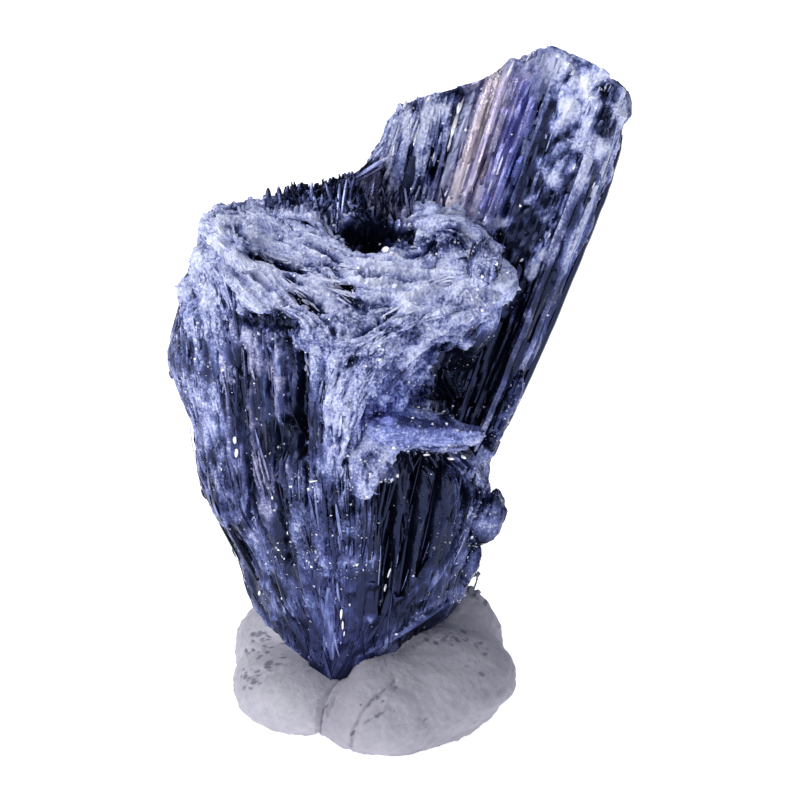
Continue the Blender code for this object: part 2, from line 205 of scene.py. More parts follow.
# A grid read between its points, at places counted in grid steps round and along
def readGrid(grid, places):
    nAround, nAlong = grid.shape[:2]
    low = np.floor(places).astype(int)
    share = places - low
    total = 0
    for roundStep, alongStep in itertools.product((0, 1), repeat=2):
        weight = abs(1 - roundStep - share[:, 0]) * abs(1 - alongStep - share[:, 1])
        corner = grid[(low[:, 0] + roundStep) % nAround, np.clip(low[:, 1] + alongStep, 0, nAlong - 1)]
        total = total + weight.reshape((-1,) + (1,) * (corner.ndim - 1)) * corner
    return total


# The steps between neighbouring points of a closed grid, round it and along it
def gridSteps(grid):
    alongStep = np.diff(grid, axis=1)
    return np.roll(grid, -1, axis=0) - grid, np.concatenate([alongStep, alongStep[:, -1:]], axis=1)


# Random places on a skin, by area times how much each point is wanted
def chosenPlaces(shape, wanted, count, draw):
    roundStep, alongStep = gridSteps(shape["soft"])
    area = np.linalg.norm(np.cross(roundStep, alongStep), axis=-1) * np.maximum(wanted, 0)
    area[:, -1] = 0
    total = np.cumsum(area.ravel())
    picked = np.searchsorted(total, draw.random(count) * total[-1])
    return np.stack(np.divmod(picked, area.shape[1]), -1) + draw.random((count, 2))


# A way over a grid as shares of its step round r and its step along a, by least squares
def gridMove(way, r, a):
    rr, ra, aa = (r * r).sum(-1), (r * a).sum(-1), (a * a).sum(-1)
    wr, wa = (way * r).sum(-1), (way * a).sum(-1)
    return np.stack([wr * aa - wa * ra, wa * rr - wr * ra], -1) / (rr * aa - ra**2 + 1e-9)[:, None]


# The same way or its opposite, whichever goes on from the last one
def goingOn(way, last):
    return way * np.where((way * last).sum(-1, keepdims=True) < 0, -1, 1)


# Paths over a skin, where each stride goes the wanted way, and the normals under them
def followSkin(shape, places, wayAt, strides, count):
    roundStep, alongStep = gridSteps(shape["soft"])
    path, facing, last = [], [], 0
    for _ in range(count):
        path.append(readGrid(shape["soft"], places))
        facing.append(unit(readGrid(shape["normals"], places)))
        r, a = readGrid(roundStep, places), readGrid(alongStep, places)
        last = goingOn(wayAt(path[-1], facing[-1], a), last)
        places = places + np.clip(gridMove(last, r, a) * strides[:, None], -9, 9)
        places[:, 1] = np.clip(places[:, 1], 0, shape["soft"].shape[1] - 1.01)
    return np.stack(path, 1), np.stack(facing, 1)


# Many closed rods at once: a ring of corners at each station, station + across * width * cos(t)
# + up * thickness * sin(t), times the outline's share there; both ends are flat faces
def rodSet(paths, ups, widths, thicknesses, outline, sides, twist):
    count, stations = paths.shape[:2]
    ahead = unit(np.gradient(paths, axis=1))
    across = unit(np.cross(ups, ahead))
    up = np.cross(ahead, across)
    turn = (np.arange(sides) / sides * 2 * np.pi)[None] + twist[:, None]
    size = np.asarray(outline)[None, :, None, None]
    rings = (paths[:, :, None]
             + across[:, :, None] * (np.cos(turn) * widths[:, None])[:, None, :, None] * size
             + up[:, :, None] * (np.sin(turn) * thicknesses[:, None])[:, None, :, None] * size)
    index = np.arange(count * stations * sides).reshape(count, stations, sides)
    after = np.roll(index, -1, axis=2)
    walls = np.stack([index[:, :-1], after[:, :-1], after[:, 1:], index[:, 1:]], -1).reshape(-1, 4)
    ends = np.concatenate([index[:, 0, ::-1], index[:, -1]])
    return rings.reshape(-1, 3), [walls, ends]


# A value for each rod, or for each of its stations, repeated for the points of its rings
def perRod(values, stations, sides):
    values = values if values.ndim == 2 else np.repeat(values[:, None], stations, axis=1)
    return np.repeat(values.reshape(-1), sides)


# Upright and ahead in the front view, which looks down by 20 degrees
frontUp = np.array([0, math.sin(math.radians(20)), math.cos(math.radians(20))])
frontSight = np.array([0, math.cos(math.radians(20)), -math.sin(math.radians(20))])


# A bump or a hollow drawn in the front view: exp(-d^3) by distance over its half length and width
def frontOval(flat, x, height, halfLength, halfWidth, turn):
    turn = math.radians(turn)
    right, up = flat[..., 0] - x, flat @ frontUp - height
    ahead = right * math.cos(turn) + up * math.sin(turn)
    aside = up * math.cos(turn) - right * math.sin(turn)
    return np.exp(-np.sqrt((ahead / halfLength) ** 2 + (aside / halfWidth) ** 2) ** 3)


# An area, 1 in its middle: exp(-|x distance / half width|^p - |upward distance / half height|^q)
def areaNear(x, up, middle, half, powers=(2, 2)):
    return np.exp(-(((x - middle[0]) / half[0]) ** powers[0] + ((up - middle[1]) / half[1]) ** powers[1]))


# Places where the pale crust lies, as centre, half sizes and strength; below 0 it is bare and dark,
# and in the pocket and the hollow under the lobe that dark is painted shade
crustPatches = [
    ((-6.0, -2.5, 34.5), (8.0, 7.0, 4.6), 0.72),  # top of the spray
    ((3.5, -4.5, 33.5), (6.5, 5.0, 4.0), 0.60),
    ((8.2, -3.6, 33.6), (3.0, 2.8, 3.0), 0.28),  # right lobe
    ((4.6, 0.0, 36.4), (3.2, 2.4, 1.8), 0.40),
    ((-8.6, 1.4, 36.6), (4.2, 2.6, 2.0), 0.50),
    ((0.8, -7.5, 27.0), (3.4, 2.5, 5.2), 0.36),  # grainy right face
    ((-2.4, -8.8, 26.5), (1.6, 1.8, 5.5), 0.26),  # front ridge
    ((4.2, -6.4, 23.4), (4.4, 2.0, 1.3), 0.42),  # ledge
    ((-12.5, -0.6, 26.0), (2.2, 3.5, 10.0), 0.26),  # left edge
    ((14.8, 4.5, 43.5), (2.6, 3.0, 4.2), 0.26),  # right corner of the blade
    ((12.0, 5.0, 46.5), (2.6, 3.0, 1.6), 0.38),
    ((2.4, 4.0, 41.5), (2.4, 2.5, 4.2), 0.48),  # wing
    ((7.4, -1.5, 13.5), (2.2, 2.5, 5.0), 0.14),  # lower right flank
    ((2.4, -4.5, 15.5), (3.2, 3.0, 6.0), -0.62),  # dark below the ledge
    ((3.6, -4.6, 18.6), (2.4, 2.6, 3.0), -0.40),
    ((1.0, -5.0, 11.0), (2.6, 3.0, 5.0), -0.20),
    # painted shade in the hollow under the lobe
    ((7.6, -1.0, 26.0), (2.6, 3.2, 3.6), -1.20),  # hollow under the lobe
    ((10.4, 1.4, 36.0), (2.2, 2.0, 4.5), -0.42),  # blade behind the lobe
    ((-4.9, -6.2, 25.0), (0.9, 2.6, 4.0), -0.40),  # slot in the left face
    ((-4.2, -6.4, 16.5), (3.4, 2.6, 4.5), 0.10),  # below the ridge
    # painted shade in the pocket
    ((-0.1, -0.5, 35.6), (1.6, 1.7, 2.0), -1.20),  # pocket in the top
    ((-2.0, -4.5, 7.0), (5.0, 3.5, 4.0), -0.08),  # foot
    ((-4.6, 4.6, 37.6), (3.6, 3.6, 2.0), -0.9),  # skyline
    ((-6.0, -4.8, 25.0), (3.6, 3.0, 6.0), 0.02),  # left face
]


# The same drawn in the front view: X, height there, half length, half width, turn, the Y of its
# middle and how far it reaches either way, strength
frontPatches = [
    (6.3, 41.0, 2.6, 0.34, 73, 4, 3, 1.2),  # pale lath on the wing
    (3.6, 41.2, 1.6, 0.20, 76, 4, 3, 1.0),
    (5.2, 38.0, 1.5, 0.18, 74, 4, 3, 1.0),
    (1.4, 39.8, 1.3, 0.24, 78, 4, 3, 0.9),
    (2.4, 41.6, 1.2, 0.30, 80, 4, 3, 0.8),
    (4.6, 42.0, 1.0, 0.40, 20, 4, 3, 0.7),
    (12.4, 45.6, 1.1, 0.7, 160, 5, 4, 0.8),  # flecks along the top
    (14.6, 44.0, 0.8, 0.6, 120, 5, 4, 0.7),
    (9.8, 47.0, 1.2, 0.35, 40, 5, 4, 0.7),
    (17.2, 42.2, 0.7, 0.5, 80, 5, 4, 0.6),
    (13.6, 42.0, 0.9, 0.5, 70, 5, 4, 0.5),
    (11.6, 43.6, 0.9, 0.4, 70, 5, 4, 0.5),
    (16.0, 37.6, 2.4, 0.3, 66, 5, 4, 0.5),  # right edge
    (14.0, 33.0, 2.4, 0.3, 66, 4, 4, 0.5),
    (10.6, 35.8, 0.5, 0.3, 20, 3, 3, 0.9),
    (11.8, 34.6, 0.4, 0.3, 60, 3, 3, 0.8),
    (10.2, 33.4, 0.4, 0.25, 120, 3, 3, 0.8),
    (4.4, 39.2, 2.2, 0.30, 80, 4, 3, -0.7),
    (2.6, 38.6, 2.0, 0.34, 84, 4, 3, -0.5),
    (7.4, 40.0, 2.8, 0.30, 73, 4, 3, -0.6),
    (9.3, 34.5, 1.4, 0.6, 5, 3, 3, 0.75),  # crumbs behind the lobe
    (13.0, 37.8, 2.6, 1.1, 60, 4, 4, 0.35),
    (9.4, 32.0, 3.2, 1.1, 70, 2, 4, -0.9),  # dark behind the lobe
    # painted shade in the hollow below the lobe and on its back
    (7.2, 24.6, 3.4, 1.5, 62, 0, 5, -1.1),  # the hollow below the lobe, and its dark back
    # painted shade in the pocket
    (-0.1, 33.8, 1.6, 1.2, 0, 0, 3, -1.1),  # pocket
    (11.8, 40.2, 3.4, 0.55, 70, 4, 4, -0.6),
    (15.6, 41.2, 1.0, 0.7, 70, 4, 4, -0.7),
    (13.4, 45.3, 1.2, 0.8, 20, 5, 4, 0.30),
    (13.0, 32.6, 4.0, 0.6, 66, 3, 4, -0.7),
    (11.4, 28.0, 4.0, 0.9, 64, 2, 4, -0.8),
    (9.6, 29.6, 1.2, 0.4, 30, -3, 2, -0.5),
    # painted shade under the brow on the left, and in the hollow below it
    (-6.8, 27.4, 2.4, 0.7, 172, -5, 4, -0.55),  # under the brow on the left
    (-6.0, 19.2, 1.9, 1.2, 20, -5, 4, -0.55),
    (-6.3, 14.4, 0.6, 2.4, 0, -5, 4, -0.40),
    (2.9, 33.2, 1.6, 0.6, 176, -1, 3, -0.45),  # crumbs right of the pocket
    (-9.0, 21.5, 0.7, 3.2, 0, -4, 4, -0.22),
    (1.6, 16.6, 1.5, 2.2, 70, -5, 4, -0.5),
    (1.9, 5.8, 3.4, 0.45, 36, -3, 4, 0.5),  # bar over the foot on the right
    (4.0, 16.8, 0.9, 1.8, 0, -4, 4, -0.5),
]


# The crust at any point: the sum of its patches, each strength * exp(-d^2) by distance over half size
def crustAt(points):
    total = 0.36 - 0.13 * smoothStep(22, 12, points[..., 2])  # less towards the foot
    for centre, half, strength in crustPatches:
        away = (((points - centre) / half) ** 2).sum(-1)
        total = total + strength * np.exp(-away)
    for *oval, middle, reach, strength in frontPatches:
        near = np.exp(-(((points[..., 1] - middle) / reach) ** 2))
        total = total + strength * near * frontOval(points, *oval)
    return total + 0.30 * layered(inCells(points, 1.4), 3, 71)


# Where the crust turns a brownish mauve, as centre, half sizes and strength; below 0 the blue is
# vivid instead
mauvePatches = [
    ((-6.8, -5.0, 24.4), (4.4, 3.5, 7.0), 0.80),  # left face
    ((0.9, 1.0, 37.0), (1.9, 2.2, 1.5), 0.9),  # back of the top
    ((-3.2, -3.6, 33.2), (2.0, 1.6, 1.5), 0.30),
    ((1.6, -7.0, 25.5), (3.8, 3.0, 3.6), -0.80),  # grainy right face and ledge
    ((5.4, -6.0, 23.2), (3.0, 2.5, 1.6), -0.70),
    ((-2.0, -3.5, 6.0), (6.0, 4.0, 5.0), -0.40),  # foot
    ((-3.4, -5.0, 15.0), (3.2, 4.0, 5.0), -0.45),
    ((-7.6, -4.0, 15.5), (2.4, 3.0, 4.5), 0.42),
    ((7.0, -1.5, 12.5), (3.0, 3.0, 5.0), 0.32),
    ((13.0, 3.0, 38.0), (3.0, 3.0, 7.0), -0.18),  # blade
    ((8.0, -3.6, 32.4), (2.8, 3.0, 3.0), -0.55),  # lobe
    ((-0.2, 2.0, 39.0), (1.9, 3.0, 1.3), 0.9),
    ((0.95, -8.4, 21.2), (0.4, 0.8, 0.5), 1.3),  # knob by the drip
    ((4.2, -6.2, 22.2), (2.8, 1.5, 0.5), 1.2),  # under the ledge
]


# The sum of the patches, each strength * exp(-d^2) by distance over half size
def mauveAt(points):
    return sum(strength * np.exp(-(((points - centre) / half) ** 2).sum(-1))
               for centre, half, strength in mauvePatches)


tarnish = {"lean": 0.34, "level": 40, "left": 5.2, "width": 5.4}  # its left edge is given at that level


# How far across the tarnished band of the blade's broad face, from 0 at its left edge to 1 at its
# right: (x - lean (z - level) - left) / width
def tarnishAcross(points):
    x, _, z = np.moveaxis(points, -1, 0)
    return (x - tarnish["lean"] * (z - tarnish["level"]) - tarnish["left"]) / tarnish["width"]


# How strong the tarnish is: within the band, on the front face, from 33 mm up
def tarnishAt(points):
    _, y, z = np.moveaxis(points, -1, 0)
    across = tarnishAcross(points)
    band = smoothStep(-0.12, 0.12, across) * (1 - smoothStep(0.88, 1.08, across))
    front = smoothStep(0.5, 2.5, y) * (1 - smoothStep(5.5, 7.5, y))
    return band * front * smoothStep(33.0, 35.5, z) * (1 - 0.5 * smoothStep(45.0, 47.0, z))


# The rails of the front spray, from the foot to the rim, round from the left edge by the front
sprayRails = np.array([
    [(-3.3, -0.2, 2.2), (-8.3, 0.3, 7.1), (-10.1, 0.5, 12.4), (-12.2, 0.5, 16.6),
     (-12.7, 0.5, 21.1), (-13.9, 0.5, 24.4), (-14.25, 0.5, 27.6), (-11.3, 1.0, 35.7)],
    [(-5.0, -2.8, 2.3), (-5.9, -3.3, 7.8), (-6.6, -4.0, 13.8), (-7.6, -4.6, 18.4),
     (-7.8, -5.0, 23.0), (-8.1, -5.2, 26.3), (-8.3, -5.4, 29.5), (-8.1, -5.0, 32.6)],
    [(-4.2, -4.8, 2.0), (-2.3, -5.2, 8.2), (-1.8, -6.6, 14.8), (-1.8, -7.6, 19.7),
     (-1.9, -8.2, 24.3), (-1.9, -8.6, 27.4), (-2.0, -8.9, 29.5), (-2.0, -8.8, 31.0)],
    [(-2.2, -4.0, 2.2), (2.0, -4.2, 8.1), (2.9, -4.6, 14.0), (3.3, -4.8, 18.6),
     (2.1, -6.2, 23.6), (2.6, -6.9, 27.1), (4.1, -7.6, 30.2), (4.7, -7.2, 32.5)],
    [(-1.3, -1.0, 2.2), (5.6, -0.8, 7.5), (7.2, -0.6, 12.4), (8.1, 0.0, 16.7),
     (5.0, -2.6, 22.1), (4.4, -3.4, 25.3), (7.9, -4.4, 30.2), (8.5, -3.2, 33.0)],
    [(-1.4, 1.0, 2.0), (4.8, 3.4, 6.0), (6.4, 4.0, 10.6), (7.4, 4.4, 15.0),
     (6.9, 4.2, 19.7), (6.9, 3.6, 22.9), (8.3, 2.0, 30.2), (8.0, 0.8, 36.2)],
    [(-2.2, 2.0, 2.0), (0.5, 5.6, 5.2), (0.9, 6.4, 10.0), (0.9, 6.8, 14.1),
     (0.9, 6.8, 18.7), (0.9, 6.4, 22.3), (0.9, 5.0, 27.0), (1.3, 2.0, 37.2)],
    [(-3.0, 1.4, 2.1), (-6.0, 4.6, 5.5), (-7.3, 5.6, 10.3), (-9.3, 6.0, 14.4),
     (-9.9, 6.2, 19.0), (-10.6, 6.2, 22.4), (-10.8, 5.8, 26.3), (-9.2, 3.2, 37.2)],
])

# The blade's four long corners: left front, right front, right back, left back
bladeCorners = np.array([
    [(-4.2, 0.8, 5.2), (-6.6, 2.6, 10.4), (-7.9, 3.2, 18.6), (-8.2, 3.6, 27.4), (-7.8, 3.8, 33.3)],
    [(0.6, 0.4, 5.4), (5.4, 0.6, 11.2), (7.5, 0.4, 19.6), (10.8, 0.6, 28.3), (14.2, 1.8, 37.2)],
    [(0.8, 2.2, 5.0), (6.4, 3.6, 10.0), (8.7, 3.4, 18.5), (12.5, 3.8, 27.1), (16.2, 4.8, 36.4)],
    [(-3.8, 2.6, 4.8), (-6.5, 6.2, 8.9), (-7.7, 7.0, 17.1), (-8.0, 7.4, 26.1), (-7.7, 7.6, 32.1)],
])
bladeTop = np.array([
    (-7.4, 3.5, 37.1), (-0.4, 3.2, 39.1), (1.6, 3.6, 43.4), (4.0, 4.2, 44.4), (7.8, 4.8, 45.6),
    (12.0, 5.0, 47.7), (15.2, 4.2, 46.7), (16.9, 3.6, 45.4), (17.7, 5.6, 43.9), (16.0, 7.8, 45.1),
    (12.3, 8.8, 46.1), (8.2, 9.0, 43.6), (4.2, 8.6, 42.2), (1.4, 8.2, 40.2), (-1.9, 7.6, 36.1),
    (-7.1, 7.0, 35.7)])
across = np.linspace(0, 1, 8)[:, None, None]
bladeRails = np.concatenate([
    np.concatenate([bladeCorners[0] * (1 - across) + bladeCorners[1] * across,
                    bladeCorners[2] * (1 - across) + bladeCorners[3] * across]),
    bladeTop[:, None]], axis=1)


# A loft through rails with both ends closed: after the rim, rings draw in to the line midway
# between facing rails, ring = line + (rim - middle) * s with s from 1 to 0, while the line itself
# shortens to 0.85 of its length. Returns the points, the place round each point (0 to 1), its place
# along (0 to 1) and how far it is into the top's cap (0 to 1)
def closedLoft(rails, nAround, nFoot, nAlong, nTop, start=0.0):
    around = np.arange(nAround) / nAround
    along = np.linspace(start, 1, nAlong)
    rows = alongSpline(np.swapaxes(rails, 0, 1), along * (rails.shape[1] - 1))
    body = alongSpline(np.swapaxes(rows, 0, 1), around * len(rails), closed=True)

    def cap(rim, count):
        middle = (rim + rim[::-1]) / 2
        centre = middle.mean(0)
        s = (1 - np.arange(1, count + 1) / count)[None, :, None]
        line = centre + (middle - centre)[:, None] * (1 - 0.15 * (1 - s))
        return line + (rim - middle)[:, None] * s

    foot, top = cap(body[:, 0], nFoot)[:, ::-1], cap(body[:, -1], nTop)
    points = np.concatenate([foot, body, top], axis=1)
    along = np.concatenate([np.full(nFoot, start), along, np.ones(nTop)])
    into = np.concatenate([np.zeros(nFoot + nAlong), np.arange(1, nTop + 1) / nTop])
    return points, around[:, None], along[None], into[None]


# A grid of numbers evened out: each is averaged with its neighbours round and along, many times
def evened(values, times):
    for _ in range(times):
        padded = np.pad(values, ((0, 0), (1, 1)), mode="edge")
        values = (np.roll(values, 1, axis=0) + np.roll(values, -1, axis=0) + 2 * values
                  + padded[:, :-2] + padded[:, 2:]) / 6
    return values


# How far points are pushed in near a line given by X and Z: the depth times a smooth fall-off over
# the distance from the line, only where they face the front
def groove(points, normals, start, end, radius, depth):
    flat = points[..., [0, 2]]
    start, end = np.array(start), np.array(end)
    part = np.clip(((flat - start) @ (end - start)) / ((end - start) @ (end - start)), 0, 1)
    away = np.linalg.norm(flat - start - part[..., None] * (end - start), axis=-1) / radius
    facing = smoothStep(0.05, 0.45, -normals[..., 1])
    return depth * smoothStep(1, 0.25, away) * facing


# How the fibres run in the front view: X, height there, turn from level in degrees
fibreTurns = np.array([
    (-13.4, 27.0, 95), (-12.7, 20.7, 102), (-11.7, 15.1, 112), (-9.2, 10.9, 118), (-6.4, 6.7, 118),
    (-11.7, 33.3, 116), (-11.4, 29.6, 102), (-8.5, 25.6, 93), (-8.5, 20.7, 94), (-8.5, 15.1, 104),
    (-5.0, 23.5, 89), (-5.0, 16.5, 96), (-5.7, 10.9, 106), (-3.6, 6.7, 103), (-2.6, 24.9, 92),
    (-2.6, 20.0, 91), (-2.9, 15.1, 94), (-1.9, 8.1, 92), (-10.3, 35.0, 130), (-9.2, 32.6, 140),
    (-7.1, 34.0, 150), (-6.4, 29.8, 145), (-4.3, 31.9, 152), (-4.3, 27.7, 140), (-2.6, 29.1, 135),
    (-1.5, 31.9, 160), (0.6, 30.1, 170), (2.0, 29.1, 8), (4.8, 30.5, 8), (6.6, 33.0, 166),
    (4.8, 34.6, 172), (6.6, 31.2, 4), (8.8, 33.0, 138), (9.4, 31.4, 95),
    (7.6, 29.8, 35), (9.0, 29.1, 55), (-0.1, 27.0, 35), (-0.8, 24.2, 52),
    (2.0, 25.9, 30), (4.8, 27.3, 25), (6.9, 26.3, 28), (0.6, 22.1, 48), (2.7, 23.5, 38),
    (4.1, 22.1, 20), (4.8, 20.0, 2), (7.2, 19.6, -8), (-0.5, 19.3, 70), (-0.1, 16.5, 80),
    (-0.1, 11.6, 84), (2.0, 15.1, 76), (4.8, 15.1, 72), (3.4, 10.9, 72), (6.9, 15.1, 66),
    (6.9, 10.9, 64), (4.8, 8.1, 66), (2.0, 6.7, 76), (-6.4, 36.1, 95), (-3.6, 36.4, 88),
    (-0.8, 37.1, 70), (2.0, 36.1, 50),
])


# The way of the fibres: doubled turns averaged by exp(-d^2 / 1.9^2), then laid on the surface along
# the front sight line; on faces turned from the front it is the way up the skin
def fibreWay(points, normals, upSkin, swing):
    flat = np.stack([points[:, 0], points @ frontUp], -1)
    away = ((flat[:, None] - fibreTurns[:, :2]) ** 2).sum(-1)
    weight = np.exp((away.min(1, keepdims=True) - away) / 1.9**2)
    turn = np.radians(2 * fibreTurns[:, 2])
    turn = np.arctan2((weight * np.sin(turn)).sum(1), (weight * np.cos(turn)).sum(1)) / 2 + swing
    way = np.cos(turn)[:, None] * np.array([1, 0, 0]) + np.sin(turn)[:, None] * frontUp
    facing = -normals @ frontSight
    laid = way + frontSight * ((normals * way).sum(-1) / np.maximum(facing, 0.25))[:, None]
    share = smoothStep(0.10, 0.35, facing)[:, None]
    upward = unit(upSkin)
    return unit(goingOn(unit(laid), upward) * share + upward * (1 - share))


# Steps round and along a closed grid that move by one millimetre the fibres' way at each point
def fibreSteps(flat, normals):
    r, a = (step.reshape(-1, 3) for step in gridSteps(flat))
    way = fibreWay(flat.reshape(-1, 3), normals.reshape(-1, 3), a, 0.0)
    return np.clip(gridMove(way, r, a), -30, 30).reshape(*flat.shape[:2], 2)


# Noise drawn out along the fibres: soft noise of the given size, averaged over the places that lie
# within the given length both ways along them, and brought back to a spread of one
def drawnNoise(flat, steps, size, length, seed):
    nAround, nAlong = flat.shape[:2]
    noise = softNoise(inCells(flat, size), seed)
    starts = np.stack(np.meshgrid(np.arange(nAround), np.arange(nAlong), indexing="ij"), -1)
    starts = starts.reshape(-1, 2).astype(float)
    total = noise.reshape(-1).copy()
    stride = 0.7 * size
    for turned in (1, -1):
        places, last = starts.copy(), steps.reshape(-1, 2) * turned
        for _ in range(int(length / stride)):
            places = places + last * stride
            places[:, 0] %= nAround
            places[:, 1] = np.clip(places[:, 1], 0, nAlong - 1.01)
            total += readGrid(noise, places)
            near = places.astype(int)
            last = goingOn(steps[near[:, 0] % nAround, near[:, 1]], last)
    return (total / total.std()).reshape(nAround, nAlong)


# Swells a skin over lobes: a point inside a lobe's ellipsoid moves along its normal n to the outside,
# by the larger root t of |(p + t n - centre) / half| = 1 in the lobe's own turned axes
def swollen(flat, normals, lobes):
    rise = np.zeros(flat.shape[:-1])
    for centre, half, turn in lobes:
        cosine, sine = math.cos(math.radians(turn)), math.sin(math.radians(turn))
        axes = np.array([[cosine, 0, -sine], [0, 1, 0], [sine, 0, cosine]])
        place, way = ((flat - centre) @ axes.T) / half, (normals @ axes.T) / half
        a, b, c = (way**2).sum(-1), (place * way).sum(-1), (place**2).sum(-1) - 1
        root = np.sqrt(np.maximum(b**2 - a * c, 0))
        rise = np.maximum(rise, np.where(c < 0, (root - b) / a, 0))
    return rise


spray = {
    "around": 620, "rows": (3, 215, 92),
    "cut": 150,  # the skin is built in two pieces that meet at this row
    "wideLaths": (58, 2.6, 0.30),  # columns round, lengths along, height
    "narrowLaths": (132, 5.0, 0.20),
    "fineRidges": (190, 22.0, 0.06),
    "lumps": (2.4, 0.50),  # size and height
    "fibres": [(0.42, 2.0, 0.17), (0.85, 3.4, 0.26), (1.4, 6.0, 0.18)],  # size, length, height
    "grain": (0.45, 0.12),
    "combed": (0.36, 3.6, 0.13),  # the long fibres of the left face
    "sunk": 0.22,  # room for the fibres that stand on it
    "lobes": [  # centre, half sizes, turn about Y
        ((7.3, -3.6, 33.9), (2.2, 2.5, 2.1), 0),
        ((5.2, -3.0, 36.0), (2.8, 2.6, 1.5), -10),
        ((5.2, -6.0, 32.2), (2.8, 1.9, 1.3), -12),
        ((1.4, -7.0, 31.4), (2.8, 1.8, 1.1), -6),
        ((-5.4, -5.6, 31.8), (3.0, 1.5, 0.9), 14),
        ((-9.3, -1.4, 35.3), (2.0, 2.0, 1.5), 18),
        ((-1.4, -4.6, 33.6), (3.2, 2.2, 0.8), 8),
        ((3.6, 0.2, 36.9), (1.8, 1.5, 0.7), 0),
        ((-4.8, 0.4, 36.4), (2.6, 1.6, 0.8), 6),
        ((-2.0, -8.1, 26.4), (0.9, 0.9, 3.6), 0),
        ((1.0, -7.2, 25.4), (2.0, 1.1, 1.9), 30),
        ((-11.4, -1.4, 29.6), (1.2, 1.6, 3.2), -4),
        ((-10.0, -2.4, 16.4), (1.5, 1.3, 2.6), -20),
        ((2.5, 7.2, 30.0), (2.6, 1.4, 3.4), 10),
    ],
    "grooves": [  # from X, Z to X, Z, radius, depth
        ((-4.7, 29.4), (-5.1, 22.0), 0.60, 0.9),
        ((-5.9, 30.2), (-5.9, 24.0), 0.40, 0.5),
        ((-7.2, 29.0), (-6.8, 20.0), 0.45, 0.5),
        ((-9.4, 27.0), (-8.4, 16.0), 0.45, 0.4),
        ((-6.6, 19.0), (-5.9, 13.0), 0.45, 0.45),
        ((1.6, 19.6), (1.0, 9.5), 0.60, 1.0),
        ((3.4, 20.5), (2.2, 11.0), 0.65, 1.2),
        ((5.0, 20.0), (3.6, 12.0), 0.50, 0.8),
        ((5.6, 28.0), (5.8, 25.0), 1.60, 1.3),
    ],
    "hollows": [  # X, height in the front view, half length, half width, turn, depth
        (-5.0, 34.4, 1.2, 0.26, 158, 0.8),
        (-2.4, 33.4, 0.9, 0.22, 150, 0.7),
        (-10.6, 31.6, 0.35, 1.0, 10, 0.7),
        (-8.2, 31.9, 1.0, 0.22, 155, 0.8),
        (3.0, 30.6, 1.3, 0.22, 176, 0.7),
        (2.6, 33.5, 1.3, 0.40, 170, 0.9),
        (5.4, 32.8, 1.0, 0.24, 160, 0.35),
        (7.4, 31.0, 0.8, 0.24, 20, 0.35),
        (-0.3, 33.7, 1.5, 1.05, 0, 3.2),
        (-6.2, 31.8, 1.9, 0.42, 164, 1.5),
        (-4.6, 29.2, 1.3, 0.38, 150, 1.4),
        (-2.2, 29.7, 1.0, 0.40, 165, 1.3),
        (-9.7, 32.9, 0.5, 0.50, 110, 1.3),
        (-7.6, 30.2, 1.3, 0.26, 150, 1.0),
        (-3.4, 32.4, 1.2, 0.24, 160, 0.8),
        (-8.6, 33.6, 1.1, 0.24, 150, 0.8),
        (0.6, 30.6, 1.2, 0.24, 172, 0.8),
        (-6.8, 27.3, 2.2, 0.45, 172, 0.7),
        (-1.2, 24.4, 0.8, 0.40, 25, 0.6),
        (0.6, 23.9, 1.0, 0.30, 38, 0.35),
        (2.2, 25.0, 1.1, 0.28, 32, 0.35),
        (4.1, 29.0, 1.7, 0.30, 6, 0.7),
        (5.9, 28.0, 1.2, 0.30, 25, 0.6),
        (1.2, 28.2, 1.2, 0.28, 22, 0.6),
        (-0.4, 27.2, 1.0, 0.26, 35, 0.5),
        (3.4, 32.2, 1.2, 0.35, 10, 0.6),
        (6.4, 31.4, 1.0, 0.35, 30, 0.3),
        (-8.9, 24.6, 0.35, 1.8, 0, 0.6),
        (-6.0, 19.2, 1.5, 1.3, 20, 0.9),
    ],
}


# The relief that all crusted faces share: lumps, thin crests and broad ridges along the fibres, from
# noise n drawn along them (the finer ones are 0.8 - |n|, sharp where n passes 0), and fine grain
def crustRelief(flat, normals, made):
    size, high = made["lumps"]
    lumps = high * layered(inCells(flat, size), 3, 21)
    steps = fibreSteps(flat, normals)
    drawn = [drawnNoise(flat, steps, size, length, 25 + number)
             for number, (size, length, high) in enumerate(made["fibres"])]
    drawn = [0.8 - abs(noise) if size < 1 else noise
             for noise, (size, length, high) in zip(drawn, made["fibres"])]
    fibres = sum(high * noise for noise, (size, length, high) in zip(drawn, made["fibres"]))
    size, grainHigh = made["grain"]
    grain = grainHigh * crested(inCells(flat, size), 2, 31)
    return lumps, fibres, grain, drawn, steps


# The spray's bare crystals: wide laths, narrow laths on them and fine ridges, which are 1 - 2 |n| of
# noise n; lower at the foot and all but gone inside the top. Gives their height and their tone
def sprayCrystals(around, along, into):
    wide, wideTone = laths(around, along, *spray["wideLaths"][:2], 11)
    narrow, narrowTone = laths(around, along, *spray["narrowLaths"][:2], 13)
    columns, lengths, fine = spray["fineRidges"]
    ridges = 1 - 2 * abs(softNoise((around * columns, along * lengths), 15, (columns, None)))
    grown = 0.3 + 0.7 * smoothStep(0.05, 0.5, along)
    height = grown * (wide * spray["wideLaths"][2] + narrow * spray["narrowLaths"][2] + ridges * fine)
    return height * (1 - 0.9 * smoothStep(0.0, 0.25, into)), 0.5 * wideTone + 0.5 * narrowTone


